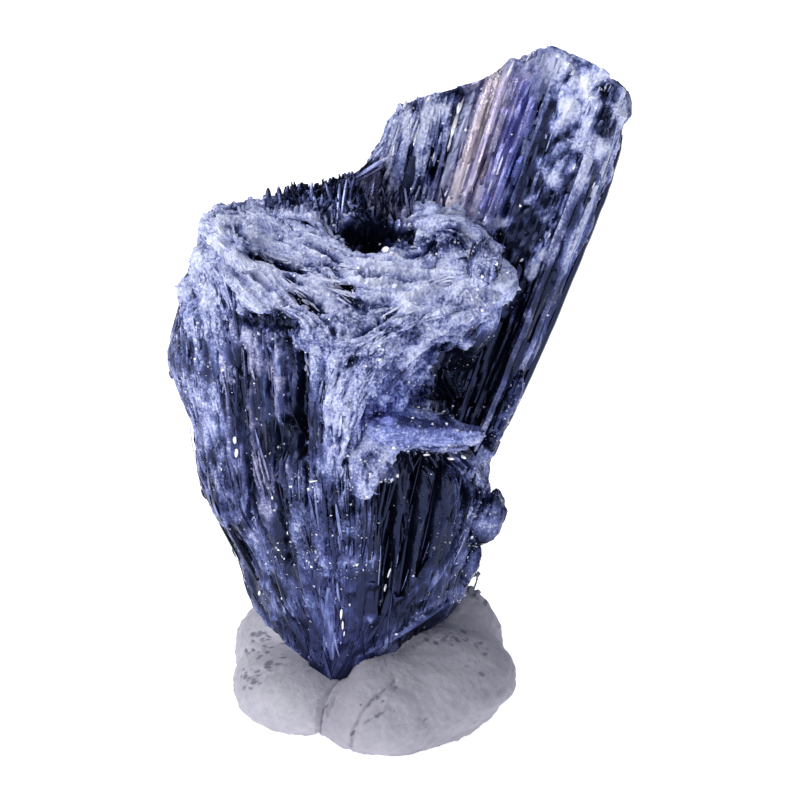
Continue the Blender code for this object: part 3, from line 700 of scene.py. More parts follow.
# The spray's areas, from 0 to 1: the left face, the right lobe, the grainy right face, the grainy
# part below the front ridge and the left edge
def sprayAreas(flat):
    x, y, z = np.moveaxis(flat, -1, 0)
    height = flat @ frontUp
    onLeft = smoothStep(-1.6, -2.8, x) * smoothStep(31, 28.5, z) * smoothStep(9, 15, z)
    onLobe = areaNear(x, height, (7.8, 31.4), (2.6, 2.6)) * smoothStep(2, -1, y)
    onRight = areaNear(x, height, (1.2, 23.6), (3.2, 3.4), (4, 4)) * smoothStep(-4, -6, y)
    below = areaNear(x, z, (-3.8, 15.4), (3.2, 4.8), (4, 4)) * smoothStep(-2, -4, y)
    onEdge = smoothStep(-10.4, -12.2, x) * smoothStep(31, 27, z)
    return onLeft, onLobe, onRight, below, onEdge


# The spray's skin: its loft, swollen over the lobes, moved along its normals by the crystals where
# it is bare and by the crust's relief where it isn't, each weakened in some areas, less the grooves
# and hollows. "soft" is the same skin with the relief evened out, for what stands on it
def sprayShape():
    flat, around, along, into = closedLoft(sprayRails, spray["around"], *spray["rows"])
    normals = gridNormals(flat)
    rise = evened(swollen(flat, normals, spray["lobes"]), 100)
    flat = flat + normals * rise[..., None]
    normals = gridNormals(flat)
    crystals, crystalTone = sprayCrystals(around, along, into)
    crust = smoothStep(0.25, 0.85, crustAt(flat))
    lumps, fibres, grain, drawn, steps = crustRelief(flat, normals, spray)
    onLeft, onLobe, onRight, below, onEdge = sprayAreas(flat)
    grainy = np.maximum(onRight, below)
    calm = 0.30 + 0.70 * smoothStep(8, 24, flat[..., 2])  # the foot is smoother, and mottled
    mottle = layered(inCells(flat, 1.5), 3, 35)
    size, length, high = spray["combed"]
    combed = 0.8 - abs(drawnNoise(flat, steps, size, length, 33))

    relief = calm * (crystals * (1 - 0.8 * crust) + fibres * (0.4 + 0.6 * crust)) + (lumps + grain) * crust
    relief = relief * (1 - 0.65 * onLeft) * (1 - 0.55 * onLobe) * (1 - 0.65 * grainy) * (1 - 0.4 * onEdge)
    relief = relief + high * combed * onLeft * (1 - 0.5 * onEdge) + 1.1 * grain * grainy
    relief = relief + 0.22 * (1 - calm) * mottle - spray["sunk"]
    for groovePart in spray["grooves"]:
        relief = relief - groove(flat, normals, *groovePart) * (1 + 0.3 * drawn[1])
    seen = smoothStep(0.1, 0.4, -normals @ frontSight)
    for *oval, depth in spray["hollows"]:
        relief = relief - depth * frontOval(flat, *oval) * seen * (1 + 0.25 * drawn[0])

    tone = calm * (crystalTone * (1 - crust) + 0.40 * drawn[1] * crust)
    tone = (tone * (1 - 0.4 * onLeft) + 0.30 * combed * onLeft) * (1 - 0.75 * below) * (1 - 0.5 * onEdge)
    tone = tone + 0.9 * (1 - calm) * mottle - 0.2 * below
    fine = calm * (0.20 * drawn[0] + 0.14 * drawn[1]) + 0.13 * combed * onLeft
    fine = fine * (1 - 0.6 * grainy) * (1 - 0.5 * onEdge) + 0.12 * (1 - calm) * mottle
    return {"points": flat + normals * relief[..., None],
            "soft": flat + normals * evened(relief, 16)[..., None],
            "normals": normals, "relief": relief, "tone": tone, "fine": fine}


blade = {
    "around": 380, "rows": (2, 160, 36), "start": 0.12,
    "plates": (30, 1.1, 0.36),  # columns round, lengths along, height
    "laths": (110, 3.4, 0.20),
    "threads": (185, 2.2, 0.06),
    "fineRidges": (190, 16.0, 0.08),
    "crust": (0.8, 0.34),  # size and height
    "sunk": 0.14,
}


# The blade's skin in the same way: plates, laths on them, threads and fine ridges where it is bare,
# sharp-crested noise where it is crusted
def bladeShape():
    flat, around, along, into = closedLoft(bladeRails, blade["around"], *blade["rows"], blade["start"])
    normals = gridNormals(flat)
    plates, plateTone = laths(around, along, *blade["plates"][:2], 41, lean=0.9)
    fine, lathTone = laths(around, along, *blade["laths"][:2], 43)
    threads, threadTone = laths(around, along, *blade["threads"][:2], 44)
    columns, lengths, high = blade["fineRidges"]
    ridges = 1 - 2 * abs(softNoise((around * columns, along * lengths), 45, (columns, None)))
    relief = (plates * blade["plates"][2] + fine * blade["laths"][2] + threads * blade["threads"][2]
              + ridges * high)
    crust = smoothStep(0.35, 0.9, crustAt(flat) + 0.25 * into)
    size, high = blade["crust"]
    craggy = high * crested(inCells(flat, size), 3, 47)
    relief = relief * (1 - 0.8 * crust) + craggy * crust
    relief = relief - blade["sunk"] - 0.5 * into * abs(layered(inCells(flat, 1.1), 2, 49))

    # Right of the tarnished band the crust lies in clumps, dark and bare between them
    height = flat @ frontUp
    beyond = flat[..., 0] - 12.1 - 0.355 * (height - 41)
    clumpy = smoothStep(-0.6, 0.4, beyond) * smoothStep(7.0, 6.0, flat[..., 1]) * smoothStep(26, 30, height)
    clumpy = clumpy * (1 - smoothStep(2.8, 3.8, beyond) * smoothStep(37.5, 35.5, height))
    clumps = layered(inCells(flat, 1.25), 3, 50)
    relief = relief * (1 - 0.7 * clumpy) + clumpy * (0.30 * clumps + 0.16 * craggy)
    darkSide = smoothStep(2.4, 1.2, beyond) * smoothStep(41, 38, height)
    clumpMark = clumpy * (0.65 * clumps - 0.05 - 0.12 * darkSide)

    clouds = layered(inCells(flat, (1.0, 1.0, 1.7)), 3, 48)
    tone = 0.35 * plateTone + 0.45 * lathTone + 0.45 * threadTone
    tone = tone * (1 - 0.7 * crust) + 0.8 * clouds * crust
    tone = tone * (1 - 0.6 * clumpy) + 0.5 * clumps * clumpy
    return {"points": flat + normals * relief[..., None],
            "soft": flat + normals * evened(relief, 8)[..., None],
            "normals": normals, "relief": relief, "tone": tone,
            "fine": 0.06 * ridges + 0.28 * tone + clumpMark}


# Numbers that every piece's material reads at its points
def placeMarks(points):
    return {"tarnish": tarnishAt(points), "across": np.clip(tarnishAcross(points), 0, 1),
            "mauve": mauveAt(points)}


# The same with the tone and the crust, which is thicker on high places, thinner in hollows, and
# thinner still in those deeper than 0.45 mm; the darker colour this gives the hollows is painted shade
def stibniteMarks(points, tone, height):
    deep = np.minimum(height + 0.45, 0)
    return {"crust": crustAt(points) + 0.5 * height + 0.8 * deep, "tone": tone, **placeMarks(points)}


# A socket that sums can be written with: 1 - mask * 2 adds the Math nodes
class Wire:
    def __init__(self, tree, socket):
        self.tree = tree
        self.socket = socket

    # One Math node with sockets or numbers as its inputs, in their order
    def maths(self, operation, *others, clamp=False):
        return self.tree.add("ShaderNodeMath", {"operation": operation, "use_clamp": clamp},
                             dict(enumerate(others)))

    def __add__(self, other):
        return self.maths("ADD", self, other)

    def __radd__(self, other):
        return self.maths("ADD", other, self)

    def __sub__(self, other):
        return self.maths("SUBTRACT", self, other)

    def __rsub__(self, other):
        return self.maths("SUBTRACT", other, self)

    def __mul__(self, other):
        return self.maths("MULTIPLY", self, other)

    def __rmul__(self, other):
        return self.maths("MULTIPLY", other, self)

    # 0 below low, 1 above high, and smooth between
    def between(self, low, high):
        return self.tree.add("ShaderNodeMapRange", {"interpolation_type": "SMOOTHSTEP"},
                             {"Value": self, "From Min": low, "From Max": high})

    # Held between 0 and 1
    def clamped(self):
        return self.maths("ADD", self, 0.0, clamp=True)


# A material in the making
class Finish:
    def __init__(self, name):
        self.material = bpy.data.materials.new(name)
        self.material.use_nodes = True
        self.tree = self.material.node_tree
        self.tree.nodes.clear()
        self.output = self.tree.nodes.new("ShaderNodeOutputMaterial")

    # One node: its settings first, then values or links into its sockets; gives the output asked for
    def add(self, kind, settings=None, inputs=None, output=0):
        node = self.tree.nodes.new(kind)
        for name, value in (settings or {}).items():
            if name == "stops":
                ramp = node.color_ramp
                while len(ramp.elements) < len(value):
                    ramp.elements.new(1.0)
                for element, (place, colour) in zip(ramp.elements, value):
                    element.position = place
                    element.color = (*colour, 1.0)
            else:
                setattr(node, name, value)
        for name, value in (inputs or {}).items():
            socket = node.inputs[name]
            if isinstance(value, Wire):
                self.tree.links.new(value.socket, socket)
            else:
                socket.default_value = value
        return Wire(self, node.outputs[output])

    # A number kept at the mesh's points
    def mark(self, name):
        return self.add("ShaderNodeAttribute", {"attribute_name": name}, output="Fac")

    # Where a point lies on its object's own axes, in metres
    def place(self):
        return self.add("ShaderNodeTexCoord", output="Object")

    # Soft noise round 0.5, in cells of one metre over the scale
    def noise(self, scale, detail=3.0, rough=0.55, at=None):
        return self.add("ShaderNodeTexNoise", None,
                        {"Vector": at or self.place(), "Scale": scale, "Detail": detail,
                         "Roughness": rough}, output="Fac")

    # The place with Z taken times a share, so that noise on it is drawn out along Z
    def drawnPlace(self, share):
        return self.add("ShaderNodeVectorMath", {"operation": "MULTIPLY"},
                        {0: self.place(), 1: (1.0, 1.0, share)}, output="Vector")

    # Colours a and b by share: sockets 0, 6 and 7 of a Mix node are its factor and its two colours
    def blend(self, share, a, b):
        node = self.tree.nodes.new("ShaderNodeMix")
        node.data_type = "RGBA"
        for index, value in ((0, share), (6, a), (7, b)):
            if isinstance(value, Wire):
                self.tree.links.new(value.socket, node.inputs[index])
            else:
                node.inputs[index].default_value = value if index == 0 else (*value, 1.0)
        return Wire(self, node.outputs[2])

    # The shader with its values, led to the material's surface
    def finish(self, shader, values):
        made = self.add(shader, None, values)
        self.tree.links.new(made.socket, self.output.inputs["Surface"])
        return self.material


stibniteColours = {
    "deep": (0.017, 0.022, 0.052),
    "bare": (0.047, 0.060, 0.172),
    "bright": (0.25, 0.295, 0.54),
    "crust": (0.24, 0.30, 0.66),
    "crustDeep": (0.092, 0.118, 0.335),
    "mauve": (0.235, 0.215, 0.37),
    "brown": (0.105, 0.09, 0.15),
    "vivid": (0.19, 0.26, 0.73),
    "vividDeep": (0.07, 0.09, 0.34),
    "vividBare": (0.064, 0.068, 0.25),
    "frost": (0.74, 0.78, 0.94),
    "frostMauve": (0.33, 0.31, 0.47),
    "frostVivid": (0.46, 0.55, 0.95),
    "stain": (0.11, 0.11, 0.26),
    "tarnish": [  # across the band, from left to right
        (0.00, (0.19, 0.20, 0.39)), (0.16, (0.59, 0.55, 0.72)), (0.34, (0.82, 0.72, 0.70)),
        (0.46, (0.50, 0.44, 0.64)), (0.56, (0.72, 0.68, 0.88)), (0.70, (0.30, 0.30, 0.61)),
        (0.86, (0.08, 0.10, 0.34)), (1.00, (0.02, 0.03, 0.10)),
    ],
}


# Bare metallic crystal, with bright faces and the tarnished band, under a paler crust with frost on
# it. The crust turns mauve where the mark "mauve" is above 0, and both turn a vivid blue where it
# is below 0. Its colour is darker in the deep hollows, as painted shade
def stibniteFinish():
    made = Finish("stibnite")
    colours = stibniteColours
    crustMark, tone, tarnish = made.mark("crust"), made.mark("tone"), made.mark("tarnish")
    mauve = made.mark("mauve").between(0.1, 0.9)
    vivid = (made.mark("mauve") * -1.0).between(0.1, 0.9)
    # Painted shade: the bare colour is darkened in the deep hollows, and on dark bare patches
    darkBareAndShade = (crustMark * -1.0).between(-0.15, 0.55)  # 1 in the deep hollows
    light = (tone * 0.5 + 0.5 - darkBareAndShade * 0.75).clamped()
    speck = made.noise(5200, 2.0, 0.6)
    patchy = made.noise(900, 4.0, 0.6)
    drawn = made.noise(4600, 2.0, 0.6, made.drawnPlace(0.16))
    light = (light + (drawn - 0.5) * 0.7).clamped()
    uneven = (patchy - 0.5) * 0.9 + (speck - 0.5) * 0.8 + (drawn - 0.5) * 0.35
    crust = (crustMark + uneven).between(0.10, 0.90)
    frost = ((speck * 1.3 + patchy * 0.7 - 0.65) * crust + crustMark * 0.42).between(0.35, 1.15)

    bare = made.blend((light + (patchy - 0.5) * 0.8).between(0.1, 0.9), colours["deep"], colours["bare"])
    bare = made.blend(light.between(0.62, 0.95), bare, colours["bright"])
    bare = made.blend(vivid * 0.7, bare, colours["vividBare"])
    hue = made.mark("across") + tone * 0.24 + (patchy - 0.5) * 0.2
    stained = made.add("ShaderNodeValToRGB", {"stops": colours["tarnish"]}, {"Fac": hue}, output="Color")
    stained = made.blend((0.62 - drawn).between(0.0, 0.35) * 0.3, stained, colours["stain"])
    bare = made.blend((tarnish * (light * 0.6 + 0.6)).clamped(), bare, stained)

    pale = made.blend(light, colours["crustDeep"], colours["crust"])
    pale = made.blend(mauve, pale, made.blend(light, colours["brown"], colours["mauve"]))
    pale = made.blend(vivid, pale, made.blend(light, colours["vividDeep"], colours["vivid"]))
    colour = made.blend(crust * (1 - tarnish * 0.75), bare, pale)
    frosted = made.blend(mauve, colours["frost"], colours["frostMauve"])
    frosted = made.blend(vivid, frosted, colours["frostVivid"])
    colour = made.blend(frost * (1 - tarnish * 0.8), colour, frosted)

    grain = made.noise(9000, 2.0, 0.7)
    bump = made.add("ShaderNodeBump", None, {"Strength": 0.35, "Distance": 0.00006,
                                             "Height": grain + speck * 0.7}, output="Normal")
    return made.finish("ShaderNodeBsdfPrincipled", {
        "Base Color": colour,
        "Metallic": 0.9 - crust * 0.70,
        "Roughness": 0.22 + crust * 0.26 + (patchy - 0.5) * 0.2,
        "Normal": bump,
    })


stibnite = stibniteFinish()


# A closed grid as a piece, with the crust's mark raised by its fine marks and by a number for all
def buildSkin(name, shape, ends="folded", extra=0.0, sharp=28):
    points = gridPoints(shape["points"])
    height, tone, fine = (gridPoints(shape[key][..., None])[:, 0] for key in ("relief", "tone", "fine"))
    marks = stibniteMarks(points, tone, height)
    marks["crust"] = marks["crust"] + fine + extra
    points, faces, marks = withoutLoose(points, tubeFaces(*shape["points"].shape[:2], ends), marks)
    clusterPiece(name, points, faces, marks, stibnite, sharp)


# Some rows of a closed skin as a closed skin: past a row cut through, a last row lies midway between
# facing points, so that the cut is closed by a wall inside the body
def partOf(shape, first, last):
    part = {}
    for key in ("points", "relief", "tone", "fine"):
        rows = shape[key][:, first:last]
        if first:
            rows = np.concatenate([(rows[:, :1] + rows[::-1, :1]) / 2, rows], axis=1)
        if last < shape[key].shape[1]:
            rows = np.concatenate([rows, (rows[:, -1:] + rows[::-1, -1:]) / 2], axis=1)
        part[key] = rows
    return part


print("skins of the spray and the blade")
sprayGrid = sprayShape()
buildSkin("lower_spray", partOf(sprayGrid, 0, spray["cut"] + 1))
buildSkin("upper_spray", partOf(sprayGrid, spray["cut"], sum(spray["rows"])))
bladeGrid = bladeShape()
buildSkin("rear_blade", bladeGrid)

# Spurs and knobs that stand out of the skins: the points of a path, half widths there, towards the
# front and across the path, how much crust is added to each, and how many glints lie on it
spurs = {
    "lobe_rim": {
        "path": [(3.0, 0.2, 36.6), (5.6, -0.8, 36.3), (7.1, -1.8, 35.2), (7.7, -3.0, 33.9),
                 (7.4, -4.4, 32.6), (6.2, -5.8, 31.6), (4.0, -6.6, 31.0)],
        "halves": [(0.9, 1.0), (1.1, 1.3), (1.3, 1.5), (1.4, 1.55), (1.2, 1.35), (0.9, 1.1), (0.6, 0.8)],
        "crust": 0.05, "glints": 90,
    },
    "tip_knob": {
        "path": [(14.4, 5.2, 39.2), (15.5, 5.8, 41.6), (16.2, 6.2, 43.3), (15.5, 6.2, 44.7)],
        "halves": [(0.8, 0.8), (1.7, 1.5), (2.1, 2.0), (1.5, 1.5)],
        "crust": 0.0, "glints": 90,
    },
    "ledge": {
        "path": [(-0.9, -6.4, 23.8), (1.4, -6.9, 24.1), (3.6, -6.6, 23.8), (5.6, -6.0, 23.3),
                 (7.75, -5.3, 22.95)],
        "halves": [(1.6, 1.6), (2.1, 1.7), (1.65, 1.3), (1.15, 0.95), (0.90, 0.85)],
        "crust": 0.0, "glints": 420,
    },
    "ledge_hook": {
        "path": [(2.2, -6.4, 22.9), (4.2, -6.3, 22.3), (6.6, -5.6, 22.2)],
        "halves": [(0.8, 0.8), (0.8, 0.5), (0.4, 0.25)],
        "crust": -0.15, "glints": 90,
    },
    "drip": {
        "path": [(0.9, -7.0, 24.0), (0.1, -7.6, 22.4), (-0.4, -7.9, 20.8), (-0.7, -7.9, 19.2)],
        "halves": [(1.1, 1.9), (0.9, 1.6), (0.9, 1.2), (0.8, 0.9)],
        "crust": 0.18, "glints": 300,
    },
    "drip_knob": {
        "path": [(0.8, -8.0, 21.8), (0.95, -8.3, 21.3), (0.95, -8.4, 20.8)],
        "halves": [(0.45, 0.45), (0.5, 0.5), (0.4, 0.4)],
        "crust": 0.0, "glints": 90,
    },
    "flank_knob": {
        "path": [(6.7, -0.6, 13.4), (8.2, -0.6, 15.0), (8.8, -0.6, 17.1)],
        "halves": [(1.0, 1.2), (1.2, 1.3), (0.8, 0.6)],
        "crust": -0.20, "glints": 90,
    },
    "flank_bump": {
        "path": [(5.9, -0.4, 9.6), (6.7, -0.4, 11.2), (7.1, -0.4, 12.8)],
        "halves": [(0.8, 0.9), (0.9, 0.95), (0.7, 0.8)],
        "crust": -0.20, "glints": 90,
    },
    "blade_crust": {
        "path": [(8.1, 0.7, 19.6), (8.8, 0.6, 21.4), (9.9, 0.8, 23.6), (10.5, 1.0, 25.4)],
        "halves": [(0.5, 0.6), (0.7, 0.6), (0.7, 0.6), (0.4, 0.5)],
        "crust": 0.0, "glints": 90,
    },
    "lobe_tip": {
        "path": [(6.6, -4.2, 32.9), (8.0, -3.7, 33.4), (9.8, -3.0, 33.8)],
        "halves": [(1.6, 1.5), (2.1, 1.8), (1.5, 1.4)],
        "crust": 0.05, "glints": 90,
    },
}
spurRelief = {
    "around": 96, "along": 80,
    "shortPath": 5.5,  # a spur whose path is no longer has five eighths of the points each way
    "lumps": (1.7, 0.17), "grain": (0.50, 0.06),
    "fibres": [(0.42, 1.4, 0.06), (0.80, 2.0, 0.06)],
}


# A closed lump: an oval carried along a smooth path, its size falling to a pole at each end by
# sin(pi s)^0.55, with the crust's relief upon it
def spurShape(path, halves):
    nAround, nAlong = spurRelief["around"], spurRelief["along"]
    if np.linalg.norm(np.diff(path, axis=0), axis=1).sum() <= spurRelief["shortPath"]:
        nAround, nAlong = nAround * 5 // 8, nAlong * 5 // 8
    s = np.linspace(0, 1, nAlong)
    at = (1 - np.cos(np.pi * s)) / 2 * (len(path) - 1)
    middle = alongSpline(np.array(path, float), at)
    half = alongSpline(np.array(halves, float), at) * (np.sin(np.pi * s) ** 0.55)[:, None]
    ahead = unit(np.gradient(middle, axis=0))
    across = unit(np.cross(ahead, np.array([0.0, -1.0, 0.2])))
    front = np.cross(across, ahead)
    turn = np.arange(nAround)[:, None] / nAround * 2 * np.pi
    flat = (middle[None] + across[None] * (np.cos(turn) * half[:, 1])[..., None]
            + front[None] * (np.sin(turn) * half[:, 0])[..., None])
    normals = gridNormals(flat)
    lumps, fibres, grain, drawn, _ = crustRelief(flat, normals, spurRelief)
    relief = (lumps + fibres + grain) * np.minimum(1, np.sin(np.pi * s) * 4)[None]
    return {"points": flat + normals * relief[..., None],
            "soft": flat + normals * evened(relief, 4)[..., None],
            "normals": normals, "relief": relief, "tone": 0.3 * drawn[1], "fine": 0.08 * drawn[0]}


# Long thin layers down the blade's right side, from the front one to the back one
edgeLayers = {
    "layers": [  # points from the foot to the top, half width and half thickness
        ([(7.2, 0.2, 19.6), (10.4, 0.3, 28.2), (13.9, 1.6, 37.4), (15.9, 3.0, 43.0)], (0.55, 0.30)),
        ([(7.9, 1.4, 19.0), (11.4, 1.7, 27.8), (15.0, 3.0, 36.8), (16.9, 4.3, 42.0)], (0.40, 0.30)),
        ([(8.5, 2.8, 18.6), (12.3, 3.2, 27.4), (15.98, 4.5, 36.6), (17.4, 5.6, 41.2)], (0.42, 0.28)),
    ],
    "stations": 40, "sides": 6,
    "facing": (0.75, -0.6, -0.2),  # the way their thickness is measured
    "rough": 0.05,
    "crust": 0.55, "backBare": 1.4,  # added to all, and taken from the back one
    "mauve": 0.35, "backMauve": 1.0,
}


# Rods along smooth paths, moved in and out by soft noise, their size 6 times the share of the
# length from the nearer end, plus 0.25, and 1 at most
def buildEdgeLayers():
    layers, stations, sides = (edgeLayers[key] for key in ("layers", "stations", "sides"))
    share = np.linspace(0, 1, stations)
    paths = np.stack([alongSpline(np.array(path), share * (len(path) - 1)) for path, _ in layers])
    halves = np.array([half for _, half in layers])
    count = len(layers)
    rough = layered((share[None] * 14 + np.arange(count)[:, None] * 40, np.zeros((count, 1))), 3, 51)
    ups = np.broadcast_to(unit(np.array(edgeLayers["facing"])), paths.shape)
    paths = paths + ups * (edgeLayers["rough"] * rough)[..., None]
    outline = np.minimum(1, 0.25 + 6 * np.minimum(share, 1 - share))
    points, faces = rodSet(paths, ups, halves[:, 0], halves[:, 1], outline, sides, np.full(count, 0.5))
    tone = perRod(0.35 * rough + np.linspace(-0.2, 0.4, count)[:, None], stations, sides)
    marks = stibniteMarks(points, tone, 0.0)
    atBack = perRod(np.arange(count) == count - 1, stations, sides)
    marks["crust"] = marks["crust"] + edgeLayers["crust"] - edgeLayers["backBare"] * atBack
    marks["mauve"] = marks["mauve"] + edgeLayers["mauve"] + edgeLayers["backMauve"] * atBack
    clusterPiece("edge_layers", points, faces, marks, stibnite, 30)


print("layers along the blade's edge, spurs and knobs")
buildEdgeLayers()
spurGrids = {name: spurShape(spur["path"], spur["halves"]) for name, spur in spurs.items()}
for name, spur in spurs.items():
    buildSkin(name, spurGrids[name], "poles", spur["crust"], 30)


# The way up the skin, swung sideways by a small turn. Every way is asked for with the same four
# things, which it may not all need: points, normals, the step up the skin there and the swing
def upWay(points, normals, upSkin, swing):
    upward = unit(upSkin)
    return unit(upward + np.cross(normals, upward) * np.tan(swing)[:, None])


# Mostly up, leaning a little away from the skin, and swung left or right
def skywardWay(points, normals, upSkin, swing):
    upward = np.array([0.12, -0.1, 1.0]) + 0.35 * normals
    return unit(upward + np.stack([np.tan(swing), 0 * swing, 0 * swing], -1))


# What a set of fibres has where its own dictionary says nothing else. There, "scatter" is how many
# grid steps round and along a fibre starts from its bundle's place, "swing" is in degrees, "width"
# is half the width, "flatness" is thickness over width, "outline" is the share of the full size at
# each station, and "rooted" is the share of the length that lies inside the skin, on fibres that
# stand out of it
fibreBasis = {"arch": (0.0, 0.0), "waver": 0.0, "contrast": 1.0, "dimmed": 0.0}


# Fibres in bundles: each bundle has a place, a swing and a tone of its own, and its fibres start
# near it and run straight to where a path over the skin ends, or straight out of the skin. They
# stand off it by lift + arch * sin(pi * share of the length) and waver sideways by soft noise
def growFibres(name, shape, wanted, wayFor, made, seed):
    made = {**fibreBasis, **made}
    draw = np.random.default_rng(seed)
    perBundle, stations, sides = (made[key] for key in ("perBundle", "stations", "sides"))
    bundles = made["count"] // perBundle
    count = bundles * perBundle

    def spread(low, high, each=1):
        return np.repeat(draw.uniform(low, high, count // each), each)

    places = np.repeat(chosenPlaces(shape, wanted, bundles, draw), perBundle, axis=0)
    places = places + draw.normal(0, 1, (count, 2)) * made["scatter"]
    places[:, 0] %= shape["soft"].shape[0]
    places[:, 1] = np.clip(places[:, 1], 0, shape["soft"].shape[1] - 1.01)
    swing = np.radians(spread(-1, 1, perBundle) * made["bundleSwing"] + spread(-1, 1) * made["swing"])
    lengths = made["length"][0] + (made["length"][1] - made["length"][0]) * spread(0, 1) ** 1.6
    paths, ups = followSkin(shape, places, lambda p, n, a: wayFor(p, n, a, swing),
                            lengths / (stations - 1), stations)
    share = np.linspace(0, 1, stations)
    if "rooted" in made:
        way = wayFor(paths[:, 0], ups[:, 0], ups[:, 0], swing)
        paths = paths[:, :1] + way[:, None] * (share[:, None] - made["rooted"]) * lengths[:, None, None]
        ups = np.repeat(unit(np.cross(np.cross(way, ups[:, 0]), way))[:, None], stations, axis=1)
    else:
        paths = paths[:, :1] * (1 - share[:, None]) + paths[:, -1:] * share[:, None]
    lift, arch = spread(*made["lift"]), spread(*made["arch"])
    paths = paths + ups * (lift[:, None] + arch[:, None] * np.sin(np.pi * share))[..., None]
    waver = softNoise((share[None] * lengths[:, None] / 1.5 + 50 * spread(0, 1)[:, None],
                       np.arange(count)[:, None] * 1.0), seed)
    sideways = unit(np.cross(ups, np.gradient(paths, axis=1)))
    paths = paths + sideways * (waver * made["waver"])[..., None]
    widths = spread(*made["width"])
    thicknesses = widths * spread(*made["flatness"])
    points, faces = rodSet(paths, ups, widths, thicknesses, made["outline"], sides,
                           spread(-1, 1) * made["twist"])
    tone = (spread(-1, 1, perBundle) + spread(-1, 1)) / 2 * made["contrast"] - made["dimmed"]
    crust = crustAt(paths) + made["crust"] + 0.25 * tone[:, None]
    marks = {"crust": perRod(crust, stations, sides), "tone": perRod(tone, stations, sides),
             **placeMarks(points)}
    clusterPiece(name, points, faces, marks, stibnite)


# Small crystals strewn on skins, which come with how much each point is wanted and a count: each is
# an octahedron of its own size and turn, its corners moved in or out a little, with its middle near
# the skin. Sizes are low + (high - low) * r^rarity with r even from 0 to 1
def strewGrains(name, shapes, made, finish, seed):
    draw = np.random.default_rng(seed)
    middles, ups = [], []
    for shape, wanted, count in shapes:
        places = chosenPlaces(shape, wanted, count, draw)
        up = unit(readGrid(shape["normals"], places))
        middles.append(readGrid(shape["points"], places) + up * draw.uniform(*made["lift"], (count, 1)))
        ups.append(up)
    middles, ups = np.concatenate(middles), np.concatenate(ups)
    count = len(middles)
    axes = unit(draw.normal(0, 1, (count, 3)) + ups * made["upright"])
    side = unit(np.cross(axes, draw.normal(0, 1, (count, 3))))
    turned = np.stack([side, np.cross(axes, side), axes], 1)
    corners = np.array([(1, 0, 0), (0, 1, 0), (-1, 0, 0), (0, -1, 0), (0, 0, 1), (0, 0, -1)], float)
    size = made["size"][0] + (made["size"][1] - made["size"][0]) * draw.random(count) ** made["rarity"]
    stretch = np.stack([np.ones(count), draw.uniform(0.5, 1, count), draw.uniform(*made["long"], count)], -1)
    local = corners * stretch[:, None] * draw.uniform(0.7, 1.1, (count, 6, 1)) * size[:, None, None]
    points = (local @ turned + middles[:, None]).reshape(-1, 3)
    index = np.array([(0, 1, 4), (1, 2, 4), (2, 3, 4), (3, 0, 4),
                      (1, 0, 5), (2, 1, 5), (3, 2, 5), (0, 3, 5)])
    faces = (np.arange(count)[:, None, None] * 6 + index).reshape(-1, 3)
    tone = np.repeat(draw.uniform(-1, 1, count), 6)
    marks = stibniteMarks(points, tone, 0.0)
    marks["crust"] = marks["crust"] + made["crust"]
    clusterPiece(name, points, [faces], marks, finish)


# Bright clean faces that catch the light; their near-white colour makes them painted highlights from any
# side
def glintFinish():
    made = Finish("stibnite_glint")
    light = (made.mark("tone") * 0.5 + 0.5).clamped()
    colour = made.blend(light, (0.55, 0.60, 0.80), (0.95, 0.96, 1.0))
    return made.finish("ShaderNodeBsdfPrincipled", {
        "Base Color": colour, "Metallic": 0.35, "Roughness": 0.10 + made.noise(3000) * 0.12})


print("fibres, laths and stubs")
glint = glintFinish()
sprayX, sprayY, sprayZ = np.moveaxis(sprayGrid["soft"], -1, 0)
sprayUp = sprayGrid["normals"][..., 2]
sprayFront = -sprayGrid["normals"] @ frontSight
sprayHeight = sprayGrid["soft"] @ frontUp
bladeX, bladeY, bladeZ = np.moveaxis(bladeGrid["soft"], -1, 0)

mattedFibres = {
    "count": 500, "perBundle": 4, "scatter": (3.0, 2.5), "stations": 4, "length": (0.4, 1.9),
    "lift": (-0.12, 0.06), "arch": (0.0, 0.06), "width": (0.035, 0.14), "flatness": (0.35, 0.9),
    "outline": (0.5, 1.0, 0.9, 0.35), "sides": 4, "twist": 0.9, "swing": 10, "bundleSwing": 12,
    "crust": 0.22,
}
onCrust = smoothStep(0.35, 0.8, crustAt(sprayGrid["soft"])) * (sprayX > -13.5)
offLobe = 1 - 0.6 * smoothStep(-1.0, 2.0, sprayX) - 0.35 * smoothStep(4.0, 6.5, sprayX)
growFibres("matted_fibres", sprayGrid, onCrust * offLobe * (0.25 + smoothStep(0.0, 0.5, sprayFront)),
           fibreWay, mattedFibres, 101)

faceFibres = {
    "count": 520, "perBundle": 3, "scatter": (3.5, 4.0), "stations": 6, "length": (0.6, 4.0),
    "lift": (-0.08, 0.15), "arch": (0.0, 0.06), "waver": 0.04, "width": (0.04, 0.16),
    "flatness": (0.4, 0.9), "outline": (0.5, 0.9, 1.0, 1.0, 0.8, 0.3), "sides": 4, "twist": 0.9,
    "swing": 5, "bundleSwing": 6, "crust": -0.05,
}
offSlot = 1 - 0.9 * areaNear(sprayX, sprayZ, (-4.1, 25), (1.0, 5.0), (2, 4))
leftSide = smoothStep(0.5, -1.5, sprayX) * smoothStep(0.6, 0.2, sprayUp) * (sprayZ > 5) * offSlot
growFibres("face_fibres", sprayGrid, leftSide, fibreWay, faceFibres, 103)

